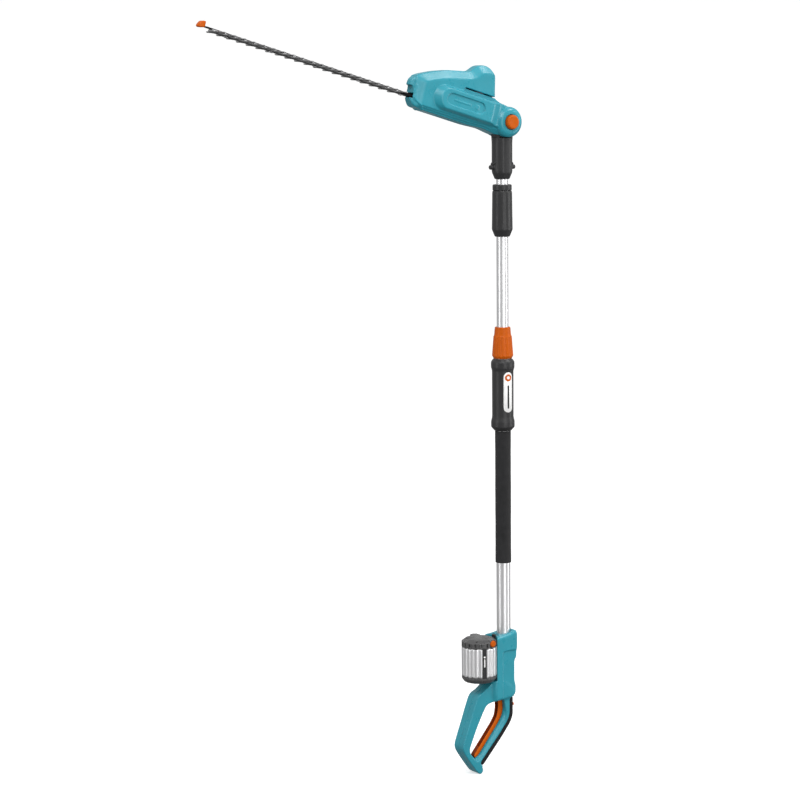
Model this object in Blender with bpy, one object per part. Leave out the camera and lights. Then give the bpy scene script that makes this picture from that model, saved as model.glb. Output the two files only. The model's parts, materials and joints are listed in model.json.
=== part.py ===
"""Telescopic cordless pole hedge trimmer, modelled as an assembly of separate pieces.

The pole is the Z axis and the tool lies in the XZ plane with the blade towards -X. The origin is on the pole's
axis at the middle of the foam sleeve. Lengths below are in millimetres and are scaled to metres when a mesh is
made. Pieces of the cutting head are laid out in the head's own axes: -X runs forwards along the blade, +Z is
up, and the origin is on the tilt hinge.
"""

from math import cos, pi, radians, sin

import bmesh
import bpy
from mathutils import Matrix, Vector

MM = 0.001
GAP = 0.3                       # clearance between pieces that rest on each other

# Pole stations, as heights along the pole
HINGE_Z = 764.3
COUPLING_TOP_Z = 733.0
LUG_Z = 673.6
COUPLING_CONE_Z = 663.6
COUPLING_BOTTOM_Z = 649.5
SLEEVE_TOP_Z = 638.7
SLEEVE_RING_Z = 626.7
SLEEVE_BOTTOM_Z = 533.6
TUBE_JOINT_Z = 597.0
NUT_TOP_Z = 350.0
NUT_BOTTOM_Z = 286.0
GRIP_TOP_Z = 285.0
GRIP_BOTTOM_Z = 137.6
FOAM_BOTTOM_Z = -136.2
LOWER_TUBE_TOP_Z = 275.0
LOWER_TUBE_BOTTOM_Z = -334.0
UPPER_TUBE_BOTTOM_Z = -310.0
LABEL_Z = 218.0

# Radii of the round pieces on the pole
UPPER_TUBE_R = 12.0
UPPER_TUBE_BORE_R = 10.6
LOWER_TUBE_R = 14.45
LOWER_TUBE_BORE_R = 13.25
COUPLING_R = 20.85
FOAM_R = 16.3

# Cutting head
HEAD_TILT = radians(16.3)       # blade above the horizontal with the pole upright
HEAD_HALF = 26.0                # half the width of the head's body
BOSS_HALF = 33.0                # half the width over the hinge bosses
BOSS_R = 30.5
TONGUE_HALF = 12.5              # half the thickness of the coupling's tongue
TONGUE_R = 24.0
LOCK_BORE_R = 16.8
BUTTON_R = 14.5
BUTTON_FACE_Y = -41.5

# Blade: distances are forwards from the hinge, heights are in the head's axes
TOOTH_PITCH = 22.0
TOOTH_COUNT = 20
FIRST_TOOTH_U = 252.0
SPINE_HALF = 10.0
TOOTH_TIP_HALF = 28.0
UPPER_KNIFE_W = (-8.85, -6.85)
LOWER_KNIFE_W = (-11.15, -9.15)
BAR_W = (-6.5, -5.0)
KNIFE_STROKE = 5.5              # each knife moves this far either way
GUARD_HALF = 7.5
GUARD_SIDE = [(704.5, -8.0), (716.0, -10.2), (719.0, -9.0), (719.0, -2.0), (715.0, 2.0), (708.0, 4.2),
              (704.5, 3.7)]     # outline of the tip guard as (forwards, up)
MOTOR_U = 77.0
GEAR_TEETH = 24
PINION_TEETH = 8
GEAR_SPACING = 24.3
CRANK_U = MOTOR_U + GEAR_SPACING
SCREW_US = [250.0 + 101.0 * k for k in range(5)]

# Handle and battery
HANDLE_HALF = 17.0
HOUSING_HALF = 24.0
DRUM_X = -61.6
DRUM_R = 36.2
DRUM_TOP_Z = -285.0
DRUM_BOTTOM_Z = -377.0
JACKET_Z = (-363.9, -303.5)
TRIGGER_HALF = 8.0
TRIGGER_PIVOT = (-74.0, -531.0)
SAFETY_Z = -435.0

COLOURS = {
    # name: (colour, roughness, metallic)
    "teal": ((0.060, 0.365, 0.440), 0.42, 0.0),
    "orange": ((0.780, 0.160, 0.018), 0.40, 0.0),
    "dark": ((0.050, 0.051, 0.055), 0.55, 0.0),
    "foam": ((0.030, 0.031, 0.033), 0.95, 0.0),
    "bright": ((0.800, 0.805, 0.815), 0.28, 1.0),
    "steel": ((0.380, 0.385, 0.395), 0.35, 1.0),
    "white": ((0.850, 0.850, 0.840), 0.45, 0.0),
}


# ---------------------------------------------------------------- scene and helpers

for old in list(bpy.data.objects):
    bpy.data.objects.remove(old, do_unlink=True)


def make_material(name):
    colour, roughness, metallic = COLOURS[name]
    material = bpy.data.materials.new(name)
    material.use_nodes = True
    shader = material.node_tree.nodes["Principled BSDF"]
    shader.inputs["Base Color"].default_value = (*colour, 1.0)
    shader.inputs["Roughness"].default_value = roughness
    shader.inputs["Metallic"].default_value = metallic
    return material


MATERIALS = {name: make_material(name) for name in COLOURS}


def make_empty(name, location, rotation=(0.0, 0.0, 0.0)):
    empty = bpy.data.objects.new(name, None)
    empty.location = Vector(location) * MM
    empty.rotation_euler = rotation
    bpy.context.scene.collection.objects.link(empty)
    return empty


HEAD = make_empty("head_frame", (0.0, 0.0, HINGE_Z), (0.0, HEAD_TILT, 0.0))


def add_object(name, bm, material, parent=None, origin=(0.0, 0.0, 0.0), sharp=35.0):
    """Turn a bmesh in millimetres into an object whose own origin is at the given point."""
    bmesh.ops.recalc_face_normals(bm, faces=bm.faces)
    place = Vector(origin)
    bmesh.ops.transform(bm, matrix=Matrix.Scale(MM, 4) @ Matrix.Translation(-place), verts=bm.verts)
    mesh = bpy.data.meshes.new(name)
    bm.to_mesh(mesh)
    bm.free()
    mesh.materials.append(MATERIALS[material])
    mesh.shade_smooth()
    mesh.set_sharp_from_angle(angle=radians(sharp))
    item = bpy.data.objects.new(name, mesh)
    item.location = place * MM
    item.parent = parent
    bpy.context.scene.collection.objects.link(item)
    return item


def as_tool(item):
    """Mark a cutter or a joined piece: it is drawn as wire and is not part of the model."""
    item.hide_render = True
    item.display_type = "WIRE"
    return item


def boolean(target, tool, operation):
    modifier = target.modifiers.new(tool.name, "BOOLEAN")
    modifier.operation = operation
    modifier.object = tool


def cut(target, *tools):
    for tool in tools:
        boolean(target, tool, "DIFFERENCE")


def join(target, *tools):
    for tool in tools:
        boolean(target, tool, "UNION")


def turn(profile, segments=20, centre=(0.0, 0.0), axis="Z"):
    """Revolve a profile of (radius, height) points. A profile that starts and ends on the axis is solid, and
    any other profile closes on itself as a ring."""
    bm = bmesh.new()
    rings = []
    for radius, height in profile:
        if radius == 0.0:
            rings.append([bm.verts.new((0.0, 0.0, height))] * segments)
            continue
        angles = [2 * pi * k / segments for k in range(segments)]
        rings.append([bm.verts.new((radius * cos(a), radius * sin(a), height)) for a in angles])
    solid = profile[0][0] == 0.0
    pairs = list(zip(rings, rings[1:]))
    if not solid:
        pairs.append((rings[-1], rings[0]))
    for low, high in pairs:
        for k in range(segments):
            n = (k + 1) % segments
            corners = [low[k], low[n], high[n], high[k]]
            bm.faces.new(list(dict.fromkeys(corners)))
    if axis == "Y":
        bmesh.ops.transform(bm, matrix=Matrix.Rotation(-pi / 2, 4, "X"), verts=bm.verts)
        shift = (centre[0], 0.0, centre[1])
    elif axis == "X":
        bmesh.ops.transform(bm, matrix=Matrix.Rotation(pi / 2, 4, "Y"), verts=bm.verts)
        shift = (0.0, centre[0], centre[1])
    else:
        shift = (centre[0], centre[1], 0.0)
    bmesh.ops.translate(bm, vec=shift, verts=bm.verts)
    return bm


def extrude(outline, low, high, across="Y", edge=0.0, steps=1):
    """Extrude an outline between two levels. Across Y it holds (x, z) points, and across Z (x, y) points. The
    edge is the width of the bevel around both faces."""
    bm = bmesh.new()
    if across == "Y":
        points = [(x, low, z) for x, z in outline]
        path = Vector((0.0, high - low, 0.0))
    else:
        points = [(x, y, low) for x, y in outline]
        path = Vector((0.0, 0.0, high - low))
    first = bm.faces.new([bm.verts.new(p) for p in points])
    made = bmesh.ops.extrude_face_region(bm, geom=[first])
    moved = [v for v in made["geom"] if isinstance(v, bmesh.types.BMVert)]
    bmesh.ops.translate(bm, vec=path, verts=moved)
    bmesh.ops.recalc_face_normals(bm, faces=bm.faces)
    if edge:
        direction = path.normalized()
        rim = [e for e in bm.edges if abs((e.verts[1].co - e.verts[0].co).dot(direction)) < 1e-6]
        bmesh.ops.bevel(bm, geom=rim, offset=edge, segments=steps, affect="EDGES",
                        clamp_overlap=True)
    return bm


def box(low, high):
    (x0, y0, z0), (x1, y1, z1) = low, high
    return extrude([(x0, y0), (x1, y0), (x1, y1), (x0, y1)], z0, z1, across="Z")


def arc(centre, radius, start, end, count):
    """Points on an arc, with its angles in degrees."""
    spread = [start + (end - start) * k / (count - 1) for k in range(count)]
    return [(centre[0] + radius * cos(radians(a)), centre[1] + radius * sin(radians(a))) for a in spread]


def stadium(first, second, radius, count=7):
    """Outline of a slot with round ends, between two centres on a line along X."""
    (x0, y0), (x1, y1) = first, second
    return arc((x1, y1), radius, -90, 90, count) + arc((x0, y0), radius, 90, 270, count)


def grow(outline, distance):
    """Move every side of an outline outwards by a distance, with mitred corners."""
    area = sum(a[0] * b[1] - b[0] * a[1] for a, b in zip(outline, outline[1:] + outline[:1]))
    side = 1.0 if area > 0 else -1.0
    moved = []
    for k, point in enumerate(outline):
        here = Vector(point)
        back = (here - Vector(outline[k - 1])).normalized()
        ahead = (Vector(outline[(k + 1) % len(outline)]) - here).normalized()
        normal = (Vector((back.y, -back.x)) + Vector((ahead.y, -ahead.x))).normalized() * side
        reach = distance / max(0.3, normal.dot(Vector((back.y, -back.x)) * side))
        moved.append(tuple(here + normal * reach))
    return moved


def forwards(outline):
    """Turn (u, w) points, with u forwards from the hinge, into the head's (x, z) or (x, y)."""
    return [(-u, w) for u, w in outline]


def gear_outline(teeth, root, tip, fill, centre):
    """Spur gear outline with trapezoidal teeth, each filling part of its pitch."""
    points = []
    for k in range(teeth):
        middle = 2 * pi * k / teeth
        half = pi / teeth * fill
        for radius, angle in ((root, -half), (tip, -half * 0.5), (tip, half * 0.5), (root, half)):
            points.append((centre[0] + radius * cos(middle + angle), centre[1] + radius * sin(middle + angle)))
    return points


def coil(name, radius, wire, pitch, turns, material, parent=None):
    """Helical spring along Z, made as a bevelled curve."""
    per_turn = 8
    curve = bpy.data.curves.new(name, "CURVE")
    curve.dimensions = "3D"
    spline = curve.splines.new("POLY")
    count = int(turns * per_turn) + 1
    spline.points.add(count - 1)
    for k, point in enumerate(spline.points):
        angle = 2 * pi * k / per_turn
        height = pitch * k / per_turn
        point.co = (radius * cos(angle) * MM, radius * sin(angle) * MM, height * MM, 1.0)
    curve.bevel_depth = wire * MM
    curve.bevel_resolution = 0
    curve.use_fill_caps = True
    curve.materials.append(MATERIALS[material])
    item = bpy.data.objects.new(name, curve)
    item.parent = parent
    bpy.context.scene.collection.objects.link(item)
    return item


# ---------------------------------------------------------------- cutting head

HEAD_OUTLINE = forwards([
    (242, 8), (239, 26), (221, 38.5), (191, 52), (162, 62), (108, 74), (95, 89), (82, 94.5), (70, 94), (58, 83),
    (46, 37), (24, 31), (4, 29.5), (4, -29.5), (20, -31), (50, -27.5), (90, -30), (220, -30), (234, -17),
])
HEAD_CAVITY = forwards([
    (228, 2), (222, 22), (191, 46), (160, 56), (110, 67), (94, 84), (82, 90), (71, 89.5), (60, 81), (50, 45),
    (46, 26), (46, -24.5), (90, -26.5), (200, -26.5), (212, -24), (222, -12),
])
CAVITY_HALF = 20.5
BARREL_CENTRES = ((162.0, 6.0), (20.0, 6.0))
BARREL_R = 25.0
RECESS_CENTRES = ((150.5, 6.5), (80.5, 6.5))
RECESS_R = 11.5
RECESS_DEPTH = 2.5


def make_head_tools():
    """Bodies that both head shells are joined to and cut with."""
    tools = {}
    barrel = [tuple((-u, w)) for u, w in BARREL_CENTRES]
    tools["barrel"] = extrude(stadium(*barrel, BARREL_R, 9), -BOSS_HALF, BOSS_HALF, edge=6.0)
    cone = 22.0
    boss = [(0.0, -BOSS_HALF), (cone, -BOSS_HALF), (BOSS_R, -HEAD_HALF), (BOSS_R, HEAD_HALF),
            (cone, BOSS_HALF), (0.0, BOSS_HALF)]
    tools["boss"] = turn(boss, 28, axis="Y")
    tools["cavity"] = extrude(HEAD_CAVITY, -CAVITY_HALF, CAVITY_HALF)
    hinge_gap = TONGUE_HALF + 0.5
    slot = [(-12.0, 24.7), (-12.0, 60.0), (45.0, 60.0), (45.0, -60.0), (-18.0, -60.0), (-18.0, -20.8)]
    slot += arc((0.0, 0.0), 27.5, 229, 116, 8)[1:-1]
    tools["clevis"] = extrude(slot, -hinge_gap, hinge_gap)
    for side in (-1, 1):
        nose = [(-x, side * y) for x, y in ((250, 9), (250, 45), (212, 45), (212, 27.5), (242, 9))]
        tools[f"nose{side}"] = extrude(nose, -50.0, 60.0, across="Z")
    mouth = forwards([(222, -2.8), (222, -12.2), (260, -12.2), (260, -2.8)])
    tools["mouth"] = extrude(mouth, -SPINE_HALF - 1.5, SPINE_HALF + 1.5)
    recess = [(-u, w) for u, w in RECESS_CENTRES]
    vent = forwards([(118, 39.2), (118, 36.0), (25, 36.0), (25, 39.2)])
    for side in (-1, 1):
        depth = sorted((side * (BOSS_HALF - RECESS_DEPTH), side * (BOSS_HALF + 5)))
        tools[f"recess{side}"] = extrude(stadium(*recess, RECESS_R, 9), *depth)
        depth = sorted((side * 22.0, side * 40.0))
        tools[f"vent{side}"] = extrude(vent, *depth)
    tools["bolt"] = turn([(0.0, -40.0), (4.3, -40.0), (4.3, 40.0), (0.0, 40.0)], 16, axis="Y")
    lock = [(0.0, -40.0), (LOCK_BORE_R, -40.0), (LOCK_BORE_R, -10.0), (0.0, -10.0)]
    tools["lock"] = turn(lock, 24, axis="Y")
    head = [(0.0, 40.0), (8.3, 40.0), (8.3, 28.0), (0.0, 28.0)]
    tools["bolt_head"] = turn(head, 20, axis="Y")
    return {key: as_tool(add_object("tool_head_" + key, bm, "teal", HEAD)) for key, bm in tools.items()}


def make_head_shells():
    tools = make_head_tools()
    for name, side in (("head_shell_left", -1), ("head_shell_right", 1)):
        shell = add_object(name, extrude(HEAD_OUTLINE, -HEAD_HALF, HEAD_HALF, edge=7.0), "teal", HEAD)
        low, high = sorted((-side * 80.0, side * GAP / 2))
        half = as_tool(add_object("tool_head_half" + str(side), box((-260, low, -60), (60, high, 120)),
                                  "teal", HEAD))
        join(shell, tools["barrel"], tools["boss"])
        cut(shell, tools["cavity"], tools["clevis"], tools["mouth"], tools[f"nose{side}"], half,
            tools[f"recess{side}"], tools[f"vent{side}"])
        if side < 0:
            cut(shell, tools["lock"])
        else:
            cut(shell, tools["bolt"], tools["bolt_head"])


def make_tilt_lock():
    """Push button in the left boss with its toothed ring, spring, hinge bolt and detent ring."""
    button = [(0.0, BUTTON_FACE_Y), (12.5, BUTTON_FACE_Y), (BUTTON_R, BUTTON_FACE_Y + 2.0), (BUTTON_R, -27.0),
              (13.1, -27.0), (13.1, -20.5), (4.7, -20.5), (4.7, -37.0), (0.0, -37.0)]
    add_object("tilt_lock_button", turn(button, 20, axis="Y"), "orange", HEAD, (0.0, BUTTON_FACE_Y, 0.0))
    ring = extrude(gear_outline(12, 11.8, 13.2, 0.55, (0.0, 0.0)), -20.2, -8.5)
    teeth = add_object("lock_ring", ring, "steel", HEAD, (0.0, -20.2, 0.0))
    hollow = turn([(0.0, -25.0), (4.7, -25.0), (4.7, 0.0), (0.0, 0.0)], 16, axis="Y")
    pocket = turn([(0.0, -12.0), (8.6, -12.0), (8.6, 0.0), (0.0, 0.0)], 16, axis="Y")
    cut(teeth, as_tool(add_object("tool_lock_hollow", hollow, "steel", HEAD)),
        as_tool(add_object("tool_lock_pocket", pocket, "steel", HEAD)))
    detent = turn([(13.6, -14.2), (16.4, -14.2), (16.4, -20.0), (13.6, -20.0)], 24, axis="Y")
    add_object("detent_ring", detent, "steel", HEAD)
    bolt = [(0.0, -30.0), (4.0, -30.0), (4.0, 28.3), (8.0, 28.3), (8.0, 32.5), (6.8, 33.0), (0.0, 33.0)]
    add_object("hinge_bolt", turn(bolt, 20, axis="Y"), "steel", HEAD)
    spring = coil("tilt_lock_spring", 6.6, 0.7, 2.3, 5, "steel", HEAD)
    spring.rotation_euler = (-pi / 2, 0.0, 0.0)
    spring.location = (0.0, -11.0 * MM, 0.0)


def knife_outline(first_tooth):
    """Rear yoke, spine and teeth of one knife as (u, y) points, worked along one side and mirrored."""
    side = [(76.0, 19.5), (126.0, 19.5), (136.0, SPINE_HALF), (first_tooth - 8.0, SPINE_HALF)]
    for k in range(TOOTH_COUNT):
        middle = first_tooth + k * TOOTH_PITCH
        side += [(middle - 5.0, SPINE_HALF), (middle - 2.5, TOOTH_TIP_HALF), (middle + 2.5, TOOTH_TIP_HALF),
                 (middle + 5.5, SPINE_HALF)]
    side.append((690.0, SPINE_HALF - 2.0))
    return forwards(side + [(u, -y) for u, y in reversed(side)])


def make_blade():
    slots = []
    for k, u in enumerate(SCREW_US):
        reach = KNIFE_STROKE + GAP
        outline = stadium((-u - reach, 0.0), (-u + reach, 0.0), 2.7, 5)
        slot = extrude(outline, -20.0, -6.7, across="Z")
        slots.append(as_tool(add_object(f"tool_slot{k}", slot, "steel", HEAD)))
    half_u, half_y = 20.5, 15.0
    window = box((-CRANK_U - half_u, -half_y, -20.0), (-CRANK_U + half_u, half_y, 0.0))
    window = as_tool(add_object("tool_yoke_window", window, "steel", HEAD))
    knives = (("upper_knife", FIRST_TOOTH_U, UPPER_KNIFE_W),
              ("lower_knife", FIRST_TOOTH_U + TOOTH_PITCH / 2, LOWER_KNIFE_W))
    for name, first, (low, high) in knives:
        knife = add_object(name, extrude(knife_outline(first), low, high, across="Z"), "steel", HEAD,
                           (-FIRST_TOOTH_U, 0.0, low))
        cut(knife, window, *slots)
    bar = forwards([(138, -7.0), (138, 7.0), (700, 7.0), (704, 4.5), (713, 4.5), (713, -4.5), (704, -4.5),
                    (700, -7.0)])
    bar = add_object("blade_guide_bar", extrude(bar, *BAR_W, across="Z"), "steel", HEAD)
    for k, u in enumerate(SCREW_US):
        hole = turn([(0.0, -8.0), (2.7, -8.0), (2.7, -2.0), (0.0, -2.0)], 10, centre=(-u, 0.0))
        cut(bar, as_tool(add_object(f"tool_bar_hole{k}", hole, "steel", HEAD)))
        screw = [(0.0, -13.6), (3.4, -13.6), (4.8, -12.6), (4.8, -11.5), (2.4, -11.5), (2.4, -5.2), (0.0, -5.2)]
        add_object(f"blade_screw_{k + 1}", turn(screw, 12, centre=(-u, 0.0)), "steel", HEAD)
    guard = forwards(GUARD_SIDE)
    guard = add_object("tip_guard", extrude(guard, -GUARD_HALF, GUARD_HALF, edge=2.2), "orange", HEAD)
    socket = box((-713.5, -5.0, BAR_W[0] - GAP), (-690.0, 5.0, BAR_W[1] + GAP))
    cut(guard, as_tool(add_object("tool_guard_socket", socket, "orange", HEAD)))


def make_drive():
    """Motor, pinion, crank gear, crank shaft with its eccentrics, and the plate that carries them."""
    motor = [(0.0, 58.0), (2.2, 58.0), (2.2, 18.0), (6.5, 18.0), (6.5, 24.0), (16.5, 24.0), (18.0, 26.0),
             (18.0, 76.0), (16.0, 78.0), (5.0, 78.0), (5.0, 83.0), (0.0, 83.0)]
    add_object("motor", turn(motor, 16, centre=(-MOTOR_U, 0.0)), "steel", HEAD)
    shaft = [(0.0, 3.4), (1.6, 3.4), (1.6, 57.5), (0.0, 57.5)]
    add_object("motor_shaft", turn(shaft, 10, centre=(-MOTOR_U, 0.0)), "steel", HEAD, (-MOTOR_U, 0.0, 0.0))
    pinion = gear_outline(PINION_TEETH, 4.4, 7.1, 0.36, (-MOTOR_U, 0.0))
    pinion = add_object("motor_pinion", extrude(pinion, 4.0, 12.0, across="Z"), "steel", HEAD,
                        (-MOTOR_U, 0.0, 0.0))
    bore = turn([(0.0, 0.0), (1.9, 0.0), (1.9, 20.0), (0.0, 20.0)], 10, centre=(-MOTOR_U, 0.0))
    cut(pinion, as_tool(add_object("tool_pinion_bore", bore, "steel", HEAD)))

    gear = gear_outline(GEAR_TEETH, 16.4, 19.0, 0.40, (0.0, 0.0))
    turn_half_tooth = pi / GEAR_TEETH
    gear = [(x * cos(turn_half_tooth) - y * sin(turn_half_tooth) - CRANK_U,
             x * sin(turn_half_tooth) + y * cos(turn_half_tooth)) for x, y in gear]
    gear = add_object("crank_gear", extrude(gear, 4.0, 10.0, across="Z"), "steel", HEAD, (-CRANK_U, 0.0, 0.0))
    bore = turn([(0.0, 0.0), (4.1, 0.0), (4.1, 20.0), (0.0, 20.0)], 16, centre=(-CRANK_U, 0.0))
    cut(gear, as_tool(add_object("tool_gear_bore", bore, "steel", HEAD)))
    crank = [(0.0, -13.5), (2.6, -13.5), (2.6, -6.6), (3.8, -6.6), (3.8, 13.0), (0.0, 13.0)]
    crank = add_object("crank_shaft", turn(crank, 16, centre=(-CRANK_U, 0.0)), "steel", HEAD,
                       (-CRANK_U, 0.0, 0.0))
    for key, sign, (low, high) in (("upper", 1, UPPER_KNIFE_W), ("lower", -1, LOWER_KNIFE_W)):
        disc = turn([(0.0, low + 0.1), (8.6, low + 0.1), (8.6, high - 0.1), (0.0, high - 0.1)], 20,
                    centre=(-CRANK_U, sign * KNIFE_STROKE))
        join(crank, as_tool(add_object("tool_eccentric_" + key, disc, "steel", HEAD)))

    plate = add_object("gear_plate", box((-165, -19.8, -4.7), (-58, 19.8, 2.9)), "bright", HEAD)
    seat = turn([(0.0, -5.0), (8.3, -5.0), (8.3, 5.0), (0.0, 5.0)], 20, centre=(-CRANK_U, 0.0))
    cut(plate, as_tool(add_object("tool_bearing_seat", seat, "steel", HEAD)))
    bearing = [(4.1, -3.0), (8.0, -3.0), (8.0, 2.7), (4.1, 2.7)]
    add_object("crank_bearing", turn(bearing, 20, centre=(-CRANK_U, 0.0)), "steel", HEAD)


# ---------------------------------------------------------------- upper pole

def make_head_coupling():
    """Socket that carries the head: a tongue in the head's clevis, a barrel, two lugs and a cone."""
    barrel = [(14.9, COUPLING_BOTTOM_Z), (COUPLING_R, COUPLING_CONE_Z), (COUPLING_R, COUPLING_TOP_Z),
              (0.0, COUPLING_TOP_Z)]
    barrel = [(0.0, COUPLING_BOTTOM_Z + 50.0), (UPPER_TUBE_R + GAP, COUPLING_BOTTOM_Z + 50.0),
              (UPPER_TUBE_R + GAP, COUPLING_BOTTOM_Z)] + barrel
    coupling = add_object("head_coupling", turn(barrel, 24), "dark")
    tongue = arc((0.0, HINGE_Z), TONGUE_R, 0, 180, 11)
    tongue += [(-18.0, COUPLING_TOP_Z - 5.0), (18.0, COUPLING_TOP_Z - 5.0)]
    tongue = extrude(tongue, -TONGUE_HALF, TONGUE_HALF)
    lug = [(0.0, -30.5), (3.6, -30.5), (4.8, -28.5), (4.8, 28.5), (3.6, 30.5), (0.0, 30.5)]
    lug = turn(lug, 12, centre=(0.0, LUG_Z), axis="X")
    join(coupling, as_tool(add_object("tool_tongue", tongue, "dark")), as_tool(add_object("tool_lug", lug, "dark")))
    socket = turn([(0.0, COUPLING_BOTTOM_Z - 10.0), (UPPER_TUBE_R + GAP, COUPLING_BOTTOM_Z - 10.0),
                   (UPPER_TUBE_R + GAP, COUPLING_BOTTOM_Z + 50.0), (0.0, COUPLING_BOTTOM_Z + 50.0)], 24)
    bore = turn([(0.0, -20.0), (4.3, -20.0), (4.3, 20.0), (0.0, 20.0)], 16, centre=(0.0, HINGE_Z), axis="Y")
    pocket = turn([(0.0, -20.0), (13.8, -20.0), (13.8, 2.5), (0.0, 2.5)], 24, centre=(0.0, HINGE_Z), axis="Y")
    for key, bm in (("socket", socket), ("hinge_bore", bore), ("lock_pocket", pocket)):
        cut(coupling, as_tool(add_object("tool_" + key, bm, "dark")))


def make_upper_pole():
    stub = [(UPPER_TUBE_BORE_R, 600.0), (UPPER_TUBE_R, 600.0), (UPPER_TUBE_R, 699.0), (UPPER_TUBE_BORE_R, 699.0)]
    add_object("stub_tube", turn(stub, 20), "bright")
    tube = [(UPPER_TUBE_BORE_R, UPPER_TUBE_BOTTOM_Z), (UPPER_TUBE_R, UPPER_TUBE_BOTTOM_Z),
            (UPPER_TUBE_R, TUBE_JOINT_Z), (UPPER_TUBE_BORE_R, TUBE_JOINT_Z)]
    add_object("upper_tube", turn(tube, 20), "bright")
    inner = UPPER_TUBE_BORE_R - GAP
    plug = [(4.0, 558.0), (inner, 558.0), (inner, TUBE_JOINT_Z + GAP), (UPPER_TUBE_R, TUBE_JOINT_Z + GAP),
            (UPPER_TUBE_R, 599.7), (inner, 599.7), (inner, 640.0), (4.0, 640.0)]
    add_object("tube_connector", turn(plug, 16), "dark")
    sleeve = [(12.5, SLEEVE_BOTTOM_Z), (15.1, SLEEVE_BOTTOM_Z), (21.1, 548.0), (20.0, SLEEVE_RING_Z - 1.2),
              (18.8, SLEEVE_RING_Z), (12.5, SLEEVE_RING_Z)]
    add_object("coupling_sleeve", turn(sleeve, 20), "dark")
    ring = [(12.4, SLEEVE_RING_Z + GAP), (19.45, SLEEVE_RING_Z + GAP), (19.45, SLEEVE_TOP_Z - 1.5),
            (18.0, SLEEVE_TOP_Z), (12.4, SLEEVE_TOP_Z)]
    add_object("sleeve_ring", turn(ring, 20), "dark")
    low, high = UPPER_TUBE_BOTTOM_Z, UPPER_TUBE_BOTTOM_Z + 18.0
    bush = [(UPPER_TUBE_R + GAP, low), (12.95, low), (12.95, high), (UPPER_TUBE_R + GAP, high)]
    add_object("guide_bush", turn(bush, 20), "white")
    cable = [(0.0, UPPER_TUBE_BOTTOM_Z), (3.0, UPPER_TUBE_BOTTOM_Z), (3.0, 640.0), (0.0, 640.0)]
    add_object("power_cable", turn(cable, 10), "dark")


# ---------------------------------------------------------------- clamp and grips

def make_clamp():
    """Nut over a slit collet on the end of the lower tube."""
    nut = [(16.8, NUT_BOTTOM_Z), (18.2, NUT_BOTTOM_Z), (21.7, 292.0), (18.6, 332.0), (17.4, 333.0),
           (15.85, NUT_TOP_Z), (12.5, NUT_TOP_Z), (12.5, 332.0), (16.8, 329.0)]
    add_object("clamp_nut", turn(nut, 20), "orange")
    collet = [(12.4, LOWER_TUBE_TOP_Z + GAP), (16.0, LOWER_TUBE_TOP_Z + GAP), (16.0, 322.0), (14.0, 328.0),
              (12.4, 328.0)]
    collet = add_object("clamp_collet", turn(collet, 16), "dark")
    for key, reach_x, reach_y in (("x", 30.0, 0.8), ("y", 0.8, 30.0)):
        slit = box((-reach_x, -reach_y, 290.0), (reach_x, reach_y, 340.0))
        cut(collet, as_tool(add_object("tool_slit_" + key, slit, "dark")))


def make_grips():
    wall = LOWER_TUBE_R + GAP
    housing = [(wall, GRIP_BOTTOM_Z), (16.8, GRIP_BOTTOM_Z), (24.1, 145.4), (24.1, 153.0), (21.9, 166.0),
               (21.9, 262.0), (24.0, 272.0), (24.0, 279.0), (19.5, GRIP_TOP_Z), (16.5, GRIP_TOP_Z),
               (16.5, LOWER_TUBE_TOP_Z + GAP), (wall, LOWER_TUBE_TOP_Z + GAP)]
    housing = add_object("grip_housing", turn(housing, 20), "dark")
    plate = [(-y, x + LABEL_Z) for x, y in stadium((-32.5, 0.0), (32.5, 0.0), 8.5, 7)]
    seat = as_tool(add_object("tool_label_seat", extrude(grow(plate, 0.4), -30.0, -20.3), "dark"))
    cut(housing, seat)
    add_object("label_plate", extrude(plate, -21.9, -20.6), "white")
    foam = [(wall, FOAM_BOTTOM_Z), (FOAM_R, FOAM_BOTTOM_Z), (FOAM_R, GRIP_BOTTOM_Z - GAP),
            (wall, GRIP_BOTTOM_Z - GAP)]
    add_object("foam_sleeve", turn(foam, 20), "foam")
    tube = [(LOWER_TUBE_BORE_R, LOWER_TUBE_BOTTOM_Z), (LOWER_TUBE_R, LOWER_TUBE_BOTTOM_Z),
            (LOWER_TUBE_R, LOWER_TUBE_TOP_Z), (LOWER_TUBE_BORE_R, LOWER_TUBE_TOP_Z)]
    add_object("lower_tube", turn(tube, 20), "bright")
    cable = [(4.0, -394.0), (8.0, -394.0), (8.0, -312.0), (4.0, -312.0)]
    add_object("coiled_cable", turn(cable, 16), "dark")


# ---------------------------------------------------------------- handle

HOUSING = [
    (-38, -287), (-15, -285), (6, -281), (12, -276.5), (17, -277), (20.5, -284), (20.5, -314), (18.6, -321),
    (18.6, -334), (13.5, -340), (13.5, -384), (16.5, -391), (16.5, -409), (9, -416), (-35, -422), (-38, -404),
]
LOOP = [
    (4, -395), (-20, -379), (-38, -379), (-60, -398), (-71, -402), (-78, -409), (-87, -432), (-98, -463),
    (-107, -486), (-114, -506), (-112, -518), (-94, -544), (-79, -564), (-73, -569.5), (-68, -569.5), (-63, -563),
    (-67, -553), (-14, -498), (6, -472), (12.5, -457), (12.5, -410),
]
OPENING = [
    (-11, -419.5), (-35, -422), (-54, -426), (-64.5, -443.5), (-80.5, -475), (-97, -513.5), (-95, -524),
    (-76, -545), (-60, -528), (-11, -470), (-5, -455),
]
ARM_CAVITY = [
    (-66, -406), (-75, -411), (-84, -434), (-95, -465), (-104, -488), (-110, -506), (-107, -514), (-101, -511),
    (-86, -476), (-70, -445), (-59, -428), (-44, -420), (-44, -404),
]
TUBE_CAVITY = [
    (-13, -300), (17, -300), (17, -310), (15, -321), (15, -332), (10, -342), (10, -382), (13, -393),
    (13, -404), (-13, -404),
]
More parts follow.
